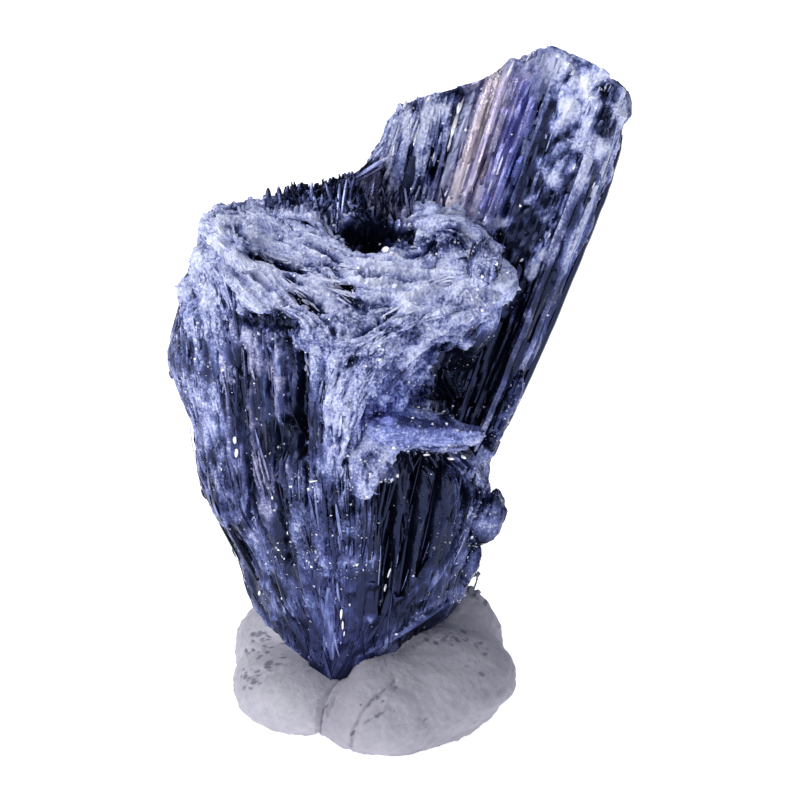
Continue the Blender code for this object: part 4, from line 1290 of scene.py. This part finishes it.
darkLaths = {
    "count": 420, "perBundle": 3, "scatter": (7.0, 6.0), "stations": 4, "length": (1.5, 6.0),
    "lift": (-0.15, 0.10), "width": (0.04, 0.17), "flatness": (0.4, 0.9),
    "outline": (0.7, 1.0, 1.0, 0.5), "sides": 5, "twist": 3.0, "swing": 3, "bundleSwing": 5,
    "crust": -0.45, "dimmed": 0.5,
}
lowerRight = smoothStep(-2.0, 0.5, sprayX) * smoothStep(18.5, 17, sprayZ) * (sprayZ > 4)
onSides = (sprayUp < 0.5) * (sprayZ > 4) * (sprayZ < 29)
growFibres("dark_laths", sprayGrid, lowerRight + 0.5 * onSides, fibreWay, darkLaths, 105)

hairFibres = {
    "count": 44, "perBundle": 2, "scatter": (4.0, 5.0), "stations": 4, "length": (1.5, 6.0),
    "lift": (0.0, 0.25), "arch": (0.0, 0.05), "width": (0.022, 0.05), "flatness": (0.8, 1.0),
    "outline": (0.5, 1.0, 1.0, 0.4), "sides": 3, "twist": 3.0, "swing": 7, "bundleSwing": 8,
    "crust": 0.32,
}
acrossLaths = lowerRight * (sprayX < 6) * (sprayFront > 0) * (sprayZ > 10) * (sprayZ < 18)
growFibres("hair_fibres", sprayGrid, acrossLaths, fibreWay, hairFibres, 107)

bladeLaths = {
    "count": 300, "perBundle": 2, "scatter": (3.5, 5.0), "stations": 5, "length": (1.5, 8.0),
    "lift": (-0.25, 0.06), "width": (0.12, 0.45), "flatness": (0.35, 0.8),
    "outline": (0.7, 1.0, 1.0, 1.0, 0.5), "sides": 5, "twist": 0.4, "swing": 1.5,
    "bundleSwing": 2.5, "crust": -0.05,
}
growFibres("blade_laths", bladeGrid, (bladeZ > 12) * 1.0, upWay, bladeLaths, 109)

wingFibres = {
    "count": 260, "perBundle": 3, "scatter": (3.0, 3.0), "stations": 5, "length": (0.6, 3.4),
    "lift": (-0.08, 0.15), "arch": (0.0, 0.05), "waver": 0.03, "width": (0.04, 0.16),
    "flatness": (0.5, 1.0), "outline": (0.6, 1.0, 1.0, 0.9, 0.4), "sides": 4, "twist": 0.8,
    "swing": 6, "bundleSwing": 7, "crust": 0.22,
}
onWing = areaNear(bladeX, bladeZ, (2.5, 40.5), (3.4, 4.0), (2, 4)) * (bladeY < 6)
onTip = 0.2 * smoothStep(9.5, 12, bladeX - 0.31 * (bladeZ - 44)) * (bladeZ > 38)
growFibres("wing_fibres", bladeGrid, onWing + onTip, upWay, wingFibres, 111)

skylineStubs = {
    "count": 480, "perBundle": 3, "scatter": (4.0, 3.0), "stations": 3, "length": (0.7, 1.8),
    "lift": (-0.2, 0.1), "rooted": 0.72, "width": (0.07, 0.26), "flatness": (0.35, 0.9),
    "outline": (0.9, 1.0, 0.4), "sides": 5, "twist": 3.0, "swing": 12, "bundleSwing": 14,
    "crust": 0.05, "contrast": 1.6,
}
onSkyline = smoothStep(-9.5, -8, bladeX) * smoothStep(-1.4, -2.2, bladeX) * (bladeZ > 34.5)
growFibres("skyline_stubs", bladeGrid, onSkyline * 1.0, skywardWay, skylineStubs, 113)

backStubs = {
    "count": 520, "perBundle": 2, "scatter": (8.0, 4.0), "stations": 3, "length": (0.6, 1.8),
    "lift": (-0.2, 0.1), "rooted": 0.62, "width": (0.07, 0.26), "flatness": (0.35, 0.9),
    "outline": (0.9, 1.0, 0.45), "sides": 5, "twist": 3.0, "swing": 16, "bundleSwing": 18,
    "crust": 0.05, "contrast": 1.6,
}
onBackRim = smoothStep(-8.5, -7, sprayX) * smoothStep(-1.0, -2.5, sprayX) * (sprayY > 1.2) * (sprayZ > 34)
growFibres("back_stubs", sprayGrid, onBackRim * 1.0, skywardWay, backStubs, 117)

# Brownish fibres splayed out behind the pocket
mauveFibres = {
    "count": 72, "perBundle": 6, "scatter": (5.0, 3.0), "stations": 4, "length": (0.8, 2.0),
    "lift": (-0.1, 0.2), "rooted": 0.10, "arch": (0.0, 0.1), "width": (0.06, 0.16),
    "flatness": (0.4, 0.9), "outline": (0.7, 1.0, 0.9, 0.4), "sides": 4, "twist": 0.9, "swing": 30,
    "bundleSwing": 20, "crust": -0.25, "dimmed": 0.4,
}
behindPocket = areaNear(sprayX, sprayHeight, (0.8, 35.6), (1.4, 0.8)) * (sprayY > -2)
growFibres("mauve_fibres", sprayGrid, behindPocket, skywardWay, mauveFibres, 115)

# Small upright crystals in the pocket, dimmed as painted shade
pocketStubs = {
    "count": 60, "perBundle": 3, "scatter": (4.0, 3.0), "stations": 3, "length": (0.5, 1.6),
    "lift": (-0.2, 0.1), "rooted": 0.40, "width": (0.10, 0.30), "flatness": (0.5, 1.0),
    "outline": (0.9, 1.0, 0.7), "sides": 5, "twist": 3.0, "swing": 30, "bundleSwing": 30,
    "crust": 0.15, "dimmed": 0.5, "contrast": 1.4,
}
inPocket = areaNear(sprayX, sprayHeight, (-0.1, 33.5), (1.9, 1.4), (4, 4)) * (sprayY > -4)
growFibres("pocket_stubs", sprayGrid, inPocket, skywardWay, pocketStubs, 119)


print("grains, glints and facets")
crustGrains = {"size": (0.05, 0.18), "rarity": 2.5, "long": (0.8, 1.6), "lift": (-0.04, 0.05),
               "upright": 0.6, "crust": 0.15}
glints = {"size": (0.035, 0.17), "rarity": 4.0, "long": (0.4, 1.6), "lift": (-0.04, 0.04),
          "upright": 0.0, "crust": 0.0}
clustered = smoothStep(-0.3, 0.9, layered(inCells(sprayGrid["soft"], 2.2), 2, 125))
sparkly = areaNear(sprayX, sprayHeight, (-3.0, 13.2), (3.6, 4.6), (4, 4)) * (sprayFront > 0)
sparkly = sparkly + areaNear(sprayX, sprayHeight, (2.6, 33.2), (1.5, 0.8)) * (sprayY > -5)
everywhere = (sprayZ > 4) * (0.35 + onCrust)
onBlade = (bladeZ > 14) * (0.4 + smoothStep(0.3, 0.8, crustAt(bladeGrid["soft"])))
strewGrains("crust_grains", [(sprayGrid, everywhere, 4200), (bladeGrid, onBlade, 1600)],
            crustGrains, stibnite, 121)
onSpray = everywhere * (0.08 + clustered + 0.4 * sparkly + 1.6 * sparkly * clustered)
onSpray = onSpray * smoothStep(3, 12, sprayZ)
onSpurs = [(spurGrids[name], np.ones_like(spurGrids[name]["relief"]), spur["glints"])
           for name, spur in spurs.items()]
# The glints take the near-white glint finish: painted highlights
strewGrains("glints", [(sprayGrid, onSpray, 4400), (bladeGrid, onBlade, 1300), *onSpurs],
            glints, glint, 123)


# Faces laid on the front skin one by one: X, height in the front view, length, width, turn. Their tones
# are given in turn, "lift" is how far they stand off the skin and "flatness" is half thickness over
# width
# Painted highlights: faces in the near-white glint finish, laid where highlights show
brightFacets = {
    "tones": (1.0,), "lift": 0.2, "flatness": 0.2,
    "faces": [
        (0.95, 32.4, 0.50, 0.40, 10), (1.35, 32.1, 0.35, 0.25, 60), (-0.9, 31.1, 0.25, 0.16, 20),
        (3.3, 34.3, 0.30, 0.18, 20), (4.2, 34.0, 0.40, 0.16, 10), (2.6, 34.2, 0.25, 0.18, 60),
        (3.9, 33.3, 0.30, 0.12, 40), (1.9, 33.1, 0.25, 0.15, 120), (2.9, 32.6, 0.30, 0.14, 0),
        (-9.5, 19.3, 0.50, 0.26, 88), (-9.4, 18.4, 0.60, 0.24, 84), (-8.0, 8.4, 0.34, 0.20, 70),
        (-2.15, 7.1, 0.75, 0.17, 86), (-2.05, 6.3, 0.60, 0.13, 88), (-1.95, 5.7, 0.35, 0.10, 80),
        (1.2, 10.0, 0.70, 0.14, 72), (0.9, 8.9, 0.60, 0.16, 76), (0.6, 7.9, 0.45, 0.14, 80),
        (-4.0, 16.5, 0.60, 0.10, 10), (2.0, 18.7, 0.34, 0.20, 20), (2.9, 18.8, 0.30, 0.18, 50),
        (3.8, 18.3, 0.45, 0.16, 0), (5.5, 18.0, 0.55, 0.18, 170), (6.4, 18.1, 0.40, 0.22, 150),
        (7.6, 18.5, 0.60, 0.16, 130), (1.7, 5.6, 0.20, 0.18, 0), (-5.3, 30.6, 0.22, 0.16, 30),
        (-2.6, 30.4, 0.20, 0.16, 80), (0.6, 24.8, 0.28, 0.14, 40), (3.2, 21.6, 0.22, 0.14, 0),
        (5.0, 21.3, 0.24, 0.12, 20), (-6.9, 15.3, 0.22, 0.16, 90),
    ],
}
skylineFacets = {
    "tones": (0.9, -0.5, 0.5, -0.8, 0.2, 1.0, -0.3), "lift": 0.15, "flatness": 0.5,
    "faces": [
        (0.0, 38.2, 2.6, 0.34, 32), (-0.2, 37.7, 2.2, 0.26, 28), (-3.9, 35.6, 2.0, 0.30, 102),
        (-3.3, 35.4, 2.4, 0.34, 97), (-2.8, 35.6, 2.6, 0.30, 92), (-2.3, 35.8, 2.6, 0.30, 87),
        (-4.6, 35.9, 1.8, 0.30, 108), (-1.9, 36.2, 2.4, 0.28, 82), (-5.4, 36.3, 1.4, 0.30, 112),
        (-6.4, 36.3, 1.3, 0.36, 100), (-7.2, 36.2, 1.3, 0.40, 92), (-5.9, 36.4, 1.2, 0.30, 80),
        (-3.0, 36.4, 1.6, 0.24, 104), (-1.4, 36.7, 1.8, 0.26, 76), (-4.2, 36.5, 1.4, 0.26, 86),
    ],
}
# Painted highlights on the wing, in the near-white glint finish
wingFacets = {
    "tones": (1.0, 1.0, 0.8, 0.6, 0.2), "lift": 0.25, "flatness": 0.3,
    "faces": [
        (6.15, 42.7, 1.7, 0.36, 75), (5.75, 41.2, 2.0, 0.30, 74), (5.4, 39.9, 1.1, 0.20, 76),
        (3.0, 40.2, 1.0, 0.14, 78), (1.5, 39.4, 0.8, 0.12, 82), (2.3, 42.5, 0.7, 0.20, 70),
        (3.9, 42.9, 0.6, 0.16, 60), (1.0, 41.3, 0.6, 0.14, 80), (4.3, 39.0, 0.7, 0.10, 76),
        (8.9, 38.4, 1.2, 0.12, 71), (8.2, 36.9, 1.0, 0.12, 71), (9.6, 45.0, 1.2, 0.14, 66),
        (10.9, 45.9, 0.9, 0.12, 62), (12.9, 45.9, 0.4, 0.24, 30), (13.9, 44.7, 0.4, 0.20, 60),
        (12.2, 46.7, 0.4, 0.20, 10), (15.1, 42.9, 0.35, 0.2, 50), (14.0, 38.2, 0.5, 0.14, 66),
        (15.4, 37.0, 0.5, 0.10, 66), (12.3, 33.5, 0.35, 0.14, 60), (10.4, 31.8, 0.3, 0.16, 40),
    ],
}
footFacets = {
    "tones": (0.1, -0.3, 0.4, -0.5, 0.2, -0.2), "lift": -0.05, "flatness": 0.25,
    "faces": [
        (2.2, 5.9, 7.6, 0.75, 31), (-5.1, 5.6, 5.4, 0.65, 123), (-2.9, 6.4, 5.2, 0.95, 92),
        (-0.9, 7.6, 5.6, 0.85, 84), (1.4, 8.8, 5.0, 0.70, 70), (3.4, 9.6, 5.0, 0.80, 60),
        (-4.4, 8.6, 5.6, 0.80, 104), (-6.2, 9.4, 5.0, 0.70, 112), (5.0, 10.6, 4.6, 0.70, 62),
        (0.4, 6.4, 3.6, 0.50, 60), (-2.0, 10.0, 4.0, 0.50, 90),
    ],
}


# Flat rods of many sides that narrow to both ends: the depth of each under its line in the front view
# is a smooth curve, fitted by least squares as 1, t and t^2 to the skin beneath its stations
def layFacets(name, shape, made, finish):
    seen = -shape["normals"] @ frontSight > 0.1
    front = shape["points"][seen]
    flat, depth = np.stack([front[:, 0], front @ frontUp], -1), front @ frontSight
    stations, sides = 7, 8
    share = np.linspace(-0.5, 0.5, stations)
    x, height, length, width, turn = np.array(made["faces"]).T
    turn = np.radians(turn)
    way = np.stack([np.cos(turn), np.sin(turn)], -1)
    line = np.stack([x, height], -1)[:, None] + way[:, None] * share[:, None] * length[:, None, None]
    away = ((flat[None] - line.reshape(-1, 1, 2)) ** 2).sum(-1)
    nearest = (away + 0.02 * (depth - depth.min())[None]).argmin(1)
    powers = np.stack([np.ones(stations), share, share**2], -1)
    smooth = depth[nearest].reshape(-1, stations) @ (powers @ np.linalg.pinv(powers)).T - made["lift"]
    across = np.array([1.0, 0, 0])
    paths = line[..., :1] * across + line[..., 1:] * frontUp + smooth[..., None] * frontSight
    ups = unit(0.5 * shape["normals"][seen][nearest[stations // 2::stations]] - frontSight)
    ups = np.repeat(ups[:, None], stations, axis=1)
    outline = (0.3, 0.8, 1.0, 1.0, 1.0, 0.8, 0.3)
    points, faces = rodSet(paths, ups, width / 2, width * made["flatness"], outline, sides, 0 * width)
    tone = perRod(np.resize(made["tones"], len(width)), stations, sides)
    marks = stibniteMarks(points, tone, 0.0)
    clusterPiece(name, points, faces, marks, finish, 30)


layFacets("bright_facets", sprayGrid, brightFacets, glint)
layFacets("foot_facets", sprayGrid, footFacets, stibnite)
layFacets("wing_facets", bladeGrid, wingFacets, glint)
layFacets("skyline_facets", sprayGrid, skylineFacets, stibnite)


putty = {
    "around": 400, "rows": 190,
    "centre": (0.0, 0.0, 3.2),
    "lobes": [  # centre, half sizes
        ((3.1, -1.6, 3.3), (7.1, 6.1, 3.7)),
        ((0.9, -2.6, 2.2), (5.6, 7.05, 4.0)),
        ((-4.9, -2.5, 3.0), (5.1, 5.3, 3.4)),
        ((-5.2, 2.0, 3.7), (4.75, 5.4, 4.3)),
        ((5.0, 3.0, 4.0), (4.3, 4.5, 4.2)),
        ((0.0, 4.2, 3.4), (6.6, 4.4, 4.2)),
        ((3.8, -3.0, 2.5), (5.0, 5.1, 3.5)),
    ],
    "crease": 0.30,  # how softly two lobes meet
    "pressed": [  # centre, half sizes, depth: where the crystal's foot pushed it down
        ((-4.8, -4.2, 4.6), (2.2, 2.8, 2.6), 3.0),
        ((-3.4, -5.6, 4.4), (1.8, 2.2, 2.2), 2.1),
        ((-4.8, -5.6, 4.6), (2.0, 2.0, 1.8), 1.1),
        ((0.6, -5.6, 5.0), (1.8, 2.0, 2.0), 0.8),
        ((3.6, -4.6, 6.2), (2.6, 2.2, 2.0), 1.8),
    ],
    "creases": [  # folds in the front view: half width, depth, then X and height of their points
        (0.15, 0.45, [(-3.1, 2.8), (-3.4, 2.2), (-3.75, 1.2), (-3.9, -0.3), (-3.95, -2.2)]),
        (0.15, 0.34, [(1.8, 2.3), (0.9, 1.7), (0.0, 1.0), (-1.0, -0.5), (-1.5, -2.2)]),
        (0.12, 0.16, [(-2.6, 1.6), (-3.0, 0.9), (-3.3, -0.3)]),
        (0.16, 0.16, [(1.6, 1.9), (2.4, 1.8), (3.2, 1.4)]),
        (0.14, 0.14, [(-0.5, -0.2), (0.6, 0.6), (1.6, 0.8)]),
        (0.30, 0.30, [(-8.4, 2.4), (-6.9, 3.1), (-5.4, 3.5), (-4.4, 3.0)]),
        (0.30, 0.16, [(4.0, 3.9), (6.0, 3.4), (8.0, 3.2)]),
    ],
    "smudges": [  # in the front view: X, height, half length, half width, turn
        (-8.5, 5.4, 0.24, 0.18, 10), (-8.0, 5.5, 0.20, 0.16, 70), (-7.35, 5.2, 0.20, 0.13, 120),
        (-8.5, 4.9, 0.18, 0.12, 20), (-7.3, 3.5, 0.36, 0.20, 35), (-6.3, 3.9, 0.15, 0.10, 60),
        (-9.0, 4.2, 0.20, 0.12, 100), (-8.9, 2.7, 0.30, 0.09, 80), (-8.3, 2.2, 0.32, 0.09, 15),
        (-8.1, 2.8, 0.22, 0.09, 110), (4.5, 4.9, 0.22, 0.11, 150), (6.0, 5.1, 0.28, 0.13, 130),
        (6.5, 5.6, 0.24, 0.12, 140), (8.0, 4.1, 0.20, 0.13, 150), (7.7, 2.8, 0.24, 0.13, 160),
        (0.55, 0.2, 0.45, 0.12, 28), (-0.2, -0.2, 0.35, 0.08, 40), (-1.4, -1.2, 0.24, 0.08, 65),
    ],
    "specks": [  # middle, spread, how many
        ((-7.6, 4.4), (1.1, 1.5), 46), ((-8.8, 2.4), (0.6, 0.9), 18), ((4.9, 5.4), (1.5, 0.7), 26),
        ((7.4, 4.2), (1.1, 1.7), 18), ((-1.0, 1.0), (5.0, 1.4), 16),
    ],
    "speckSize": (0.05, 0.16), "speckDent": 0.10,
    "lumps": (3.4, 0.18), "dents": (1.0, 0.10), "skin": (0.32, 0.055),  # size and height
}


# How near each point is to a bent line in the front view: exp(-d^2) by distance over the half width
def creaseDepth(points, halfWidth, line):
    line = alongSpline(np.array(line, float), np.linspace(0, len(line) - 1, 40))
    away = np.full(points.shape[:-1], 1e9)
    for x, height in line:
        away = np.minimum(away, (points[..., 0] - x) ** 2 + (points @ frontUp - height) ** 2)
    return np.exp(-away / halfWidth**2) * smoothStep(1.0, -2.0, points[..., 1])


# The putty round its centre: along each direction, the furthest of its lobes' ellipsoids, met
# softly by k * log(sum(exp(reach / k))), then lumps, dents, specks and creases, then cut off by the
# floor
def puttyPoints():
    turn = np.arange(putty["around"])[:, None] / putty["around"] * 2 * np.pi
    tilt = np.linspace(-0.5, 0.5, putty["rows"])[None] * np.pi
    ways = np.stack(np.broadcast_arrays(np.cos(tilt) * np.cos(turn), np.cos(tilt) * np.sin(turn),
                                        np.sin(tilt)), -1)
    centre = np.array(putty["centre"])
    reaches = []
    for middle, half in putty["lobes"]:
        way, off = ways / half, (centre - middle) / half
        a, b, c = (way**2).sum(-1), (way * off).sum(-1), (off**2).sum() - 1
        root = np.sqrt(np.maximum(b**2 - a * c, 0))
        reaches.append(np.where(b**2 > a * c, (root - b) / a, 0))
    reaches = np.array(reaches)
    k = putty["crease"]
    reach = k * np.log(np.exp(reaches / k - reaches.max(0) / k).sum(0)) + reaches.max(0)
    points = ways * reach[..., None] + centre
    for (size, high), layers, seed in ((putty["lumps"], 2, 81), (putty["dents"], 3, 83),
                                       (putty["skin"], 2, 85)):
        reach = reach + high * layered(inCells(points, size), layers, seed)
    for middle, half, depth in putty["pressed"]:
        away = ((points - middle) / half) ** 2
        reach = reach - depth * np.exp(-away.sum(-1))
    reach = reach - putty["speckDent"] * speckMark(points)
    for halfWidth, depth, line in putty["creases"]:
        reach = reach - depth * creaseDepth(points, halfWidth, line)
    reach[:, 0] = reach[:, 0].mean()
    reach[:, -1] = reach[:, -1].mean()
    down = np.minimum(ways[..., 2], -1e-6)
    reach = np.minimum(reach, np.where(ways[..., 2] < 0, -centre[2] / down, 1e9))
    return ways * reach[..., None] + centre


# Small dark specks pressed into the putty: ovals in the front view, exp(-d^2), the largest wins
def speckMark(points):
    draw = np.random.default_rng(131)
    flatX, flatUp = points[..., 0], points @ frontUp
    mark = np.max([frontOval(points, *oval) for oval in putty["smudges"]], axis=0)
    for middle, spread, count in putty["specks"]:
        for x, up in np.array(middle) + draw.normal(0, 0.6, (count, 2)) * spread:
            size = putty["speckSize"][0] + putty["speckSize"][1] * draw.random() ** 2
            slant = draw.uniform(-1, 1)
            ahead = (flatX - x) / size
            aside = (flatUp - up - slant * (flatX - x)) / (size * draw.uniform(0.35, 0.8))
            mark = np.maximum(mark, np.exp(-(ahead**2 + aside**2)) * draw.uniform(0.6, 1.2))
    return mark * smoothStep(1.0, -1.0, points[..., 1])


# Pale grey putty in two broad shades, with grey fine grain and dark smudges, and painted shade
# on the right and in its creases
def puttyFinish():
    made = Finish("putty")
    smudge = made.mark("smudge")
    fine, broad = made.noise(2600, 3.0, 0.6), made.noise(230, 4.0, 0.6)
    colour = made.blend(broad.between(0.3, 0.7), (0.37, 0.36, 0.42), (0.50, 0.49, 0.55))
    colour = made.blend((fine - 0.42) * 1.1, colour, (0.28, 0.28, 0.34))
    # Painted shade: the right side of the putty is darkened
    colour = made.blend(made.mark("dull") * 0.52, colour, (0.26, 0.25, 0.31))
    # Dark specks and smudges, and painted shade in the creases
    darkening = (smudge * 1.25 + (fine - 0.5) * 0.9).between(0.12, 0.85)
    colour = made.blend(darkening * 0.8, colour, (0.11, 0.11, 0.17))
    bump = made.add("ShaderNodeBump", None, {"Strength": 0.8, "Distance": 0.0001, "Height": fine},
                    output="Normal")
    return made.finish("ShaderNodeBsdfPrincipled", {
        "Base Color": colour, "Roughness": 0.62 + (fine - 0.5) * 0.2, "Normal": bump})


# The putty as a piece; its creases are darkened too, as painted shade
def buildPutty():
    grid = puttyPoints()
    points = gridPoints(grid)
    faces = tubeFaces(*grid.shape[:2], ends="poles")
    folded = sum(depth * creaseDepth(points, halfWidth, line) for halfWidth, depth, line in putty["creases"])
    # Painted shade, growing from the middle towards the right
    dull = 0.6 * smoothStep(-4.4, -3.2, points[:, 0]) + 0.4 * smoothStep(0, 9, points[:, 0])
    # The specks' mark plus painted shade along the creases
    marks = {"smudge": speckMark(points) + 0.8 * folded, "dull": dull}
    points, faces, marks = withoutLoose(points, faces, marks)
    puttyPiece("putty_lump", points, faces, marks, 60)


# Torn crumbs that stand up at the right: start, end, half width
wisps = [
    ((7.2, 2.7, 7.9), (7.5, 2.7, 9.1), 0.08), ((7.35, 2.7, 9.05), (7.65, 2.7, 9.4), 0.18),
    ((6.9, 2.8, 7.2), (7.1, 2.7, 8.3), 0.28), ((7.4, 2.8, 7.2), (7.5, 2.7, 8.0), 0.26),
    ((8.0, 2.8, 6.2), (8.15, 2.7, 7.2), 0.16), ((7.2, 2.7, 9.0), (7.7, 2.7, 9.3), 0.08),
]


# Short rods from start to end, bent by soft noise
def buildWisps():
    stations, sides = 6, 6
    share = np.linspace(0, 1, stations)[None, :, None]
    start, end = (np.array([wisp[k] for wisp in wisps])[:, None] for k in (0, 1))
    paths = start + (end - start) * share
    paths = paths + 0.10 * softNoise(np.moveaxis(paths[..., None] * [2.0, 2.1, 2.2], -1, 0), 91)
    ups = np.broadcast_to(unit(np.array([0.3, -1.0, 0.1])), paths.shape)
    width = np.array([wisp[2] for wisp in wisps])
    points, faces = rodSet(paths, ups, width, width * 0.8, (1.0, 0.9, 1.1, 0.8, 1.1, 0.6), sides, 3 * width)
    # The wisps stand at the right and take its full painted shade
    puttyPiece("putty_wisps", points, faces, {"smudge": 0.5, "dull": 1.0}, 50)


print("putty")
puttyMade = puttyFinish()
buildPutty()
buildWisps()


# A plain pale floor, soft light from above, the left and the front, and small bright lamps
studio = {
    "floor": (0.93, 0.93, 0.95), "floorReach": 3000.0, "floorRoughness": 0.9, "floorGlow": 0.72,
    "world": (0.62, 0.66, 0.80), "worldStrength": 0.30,
    "aim": (0.0, 0.0, 24.0),
    "lamps": [  # place and width in mm, power, colour
        ((-245, -130, 275), 290, 1.05, (1.0, 0.98, 0.97)),
        ((40, 120, 330), 260, 0.36, (0.95, 0.97, 1.0)),
        ((60, -290, 130), 30, 0.05, (1.0, 1.0, 1.0)),
        ((-110, -300, 60), 30, 0.07, (1.0, 1.0, 1.0)),
    ],
}


# The floor is a square that glows a little; each lamp is turned from its place to the aim
def buildStudio():
    mesh = bpy.data.meshes.new("floor")
    reach = studio["floorReach"] * mm
    mesh.from_pydata([(-reach, -reach, 0), (reach, -reach, 0), (reach, reach, 0), (-reach, reach, 0)],
                     [], [(0, 1, 2, 3)])
    floor = bpy.data.objects.new("floor", mesh)
    bpy.context.scene.collection.objects.link(floor)
    pale = Finish("pale_floor")
    mesh.materials.append(pale.finish("ShaderNodeBsdfPrincipled", {
        "Base Color": (*studio["floor"], 1.0), "Roughness": studio["floorRoughness"],
        "Emission Color": (1.0, 1.0, 1.0, 1.0), "Emission Strength": studio["floorGlow"]}))

    world = bpy.data.worlds.new("studio")
    bpy.context.scene.world = world
    world.use_nodes = True
    sky = world.node_tree.nodes["Background"]
    sky.inputs["Color"].default_value = (*studio["world"], 1.0)
    sky.inputs["Strength"].default_value = studio["worldStrength"]

    aim = np.array(studio["aim"]) * mm
    for number, (place, width, power, colour) in enumerate(studio["lamps"]):
        light = bpy.data.lights.new(f"lamp_{number}", "AREA")
        light.size = width * mm
        light.energy = power
        light.color = colour
        lamp = bpy.data.objects.new(f"lamp_{number}", light)
        bpy.context.scene.collection.objects.link(lamp)
        place = np.array(place, float) * mm
        lamp.location = place
        toward = aim - place
        turn = math.atan2(toward[1], toward[0]) - math.pi / 2
        lamp.rotation_euler = (math.atan2(math.hypot(toward[0], toward[1]), -toward[2]), 0, turn)


camera = {
    "target": (1.96, 0.0, 23.5), "distance": 300.0, "elevation": 20.0,
    "lens": 192.857, "sensor": 36.0, "nearest": 10.0,
}


# The camera stands in front of its target, raised by its elevation, and looks at it
def buildCamera():
    data = bpy.data.cameras.new("camera")
    data.lens = camera["lens"]
    data.sensor_width = camera["sensor"]
    data.clip_start = camera["nearest"] * mm
    eye = bpy.data.objects.new("camera", data)
    bpy.context.scene.collection.objects.link(eye)
    raised = math.radians(camera["elevation"])
    backward = np.array([0, -math.cos(raised), math.sin(raised)])
    eye.location = (np.array(camera["target"]) + camera["distance"] * backward) * mm
    eye.rotation_euler = (math.pi / 2 - raised, 0, 0)
    bpy.context.scene.camera = eye


print("studio and camera")
buildStudio()
buildCamera()
bpy.context.scene.view_settings.view_transform = "Standard"
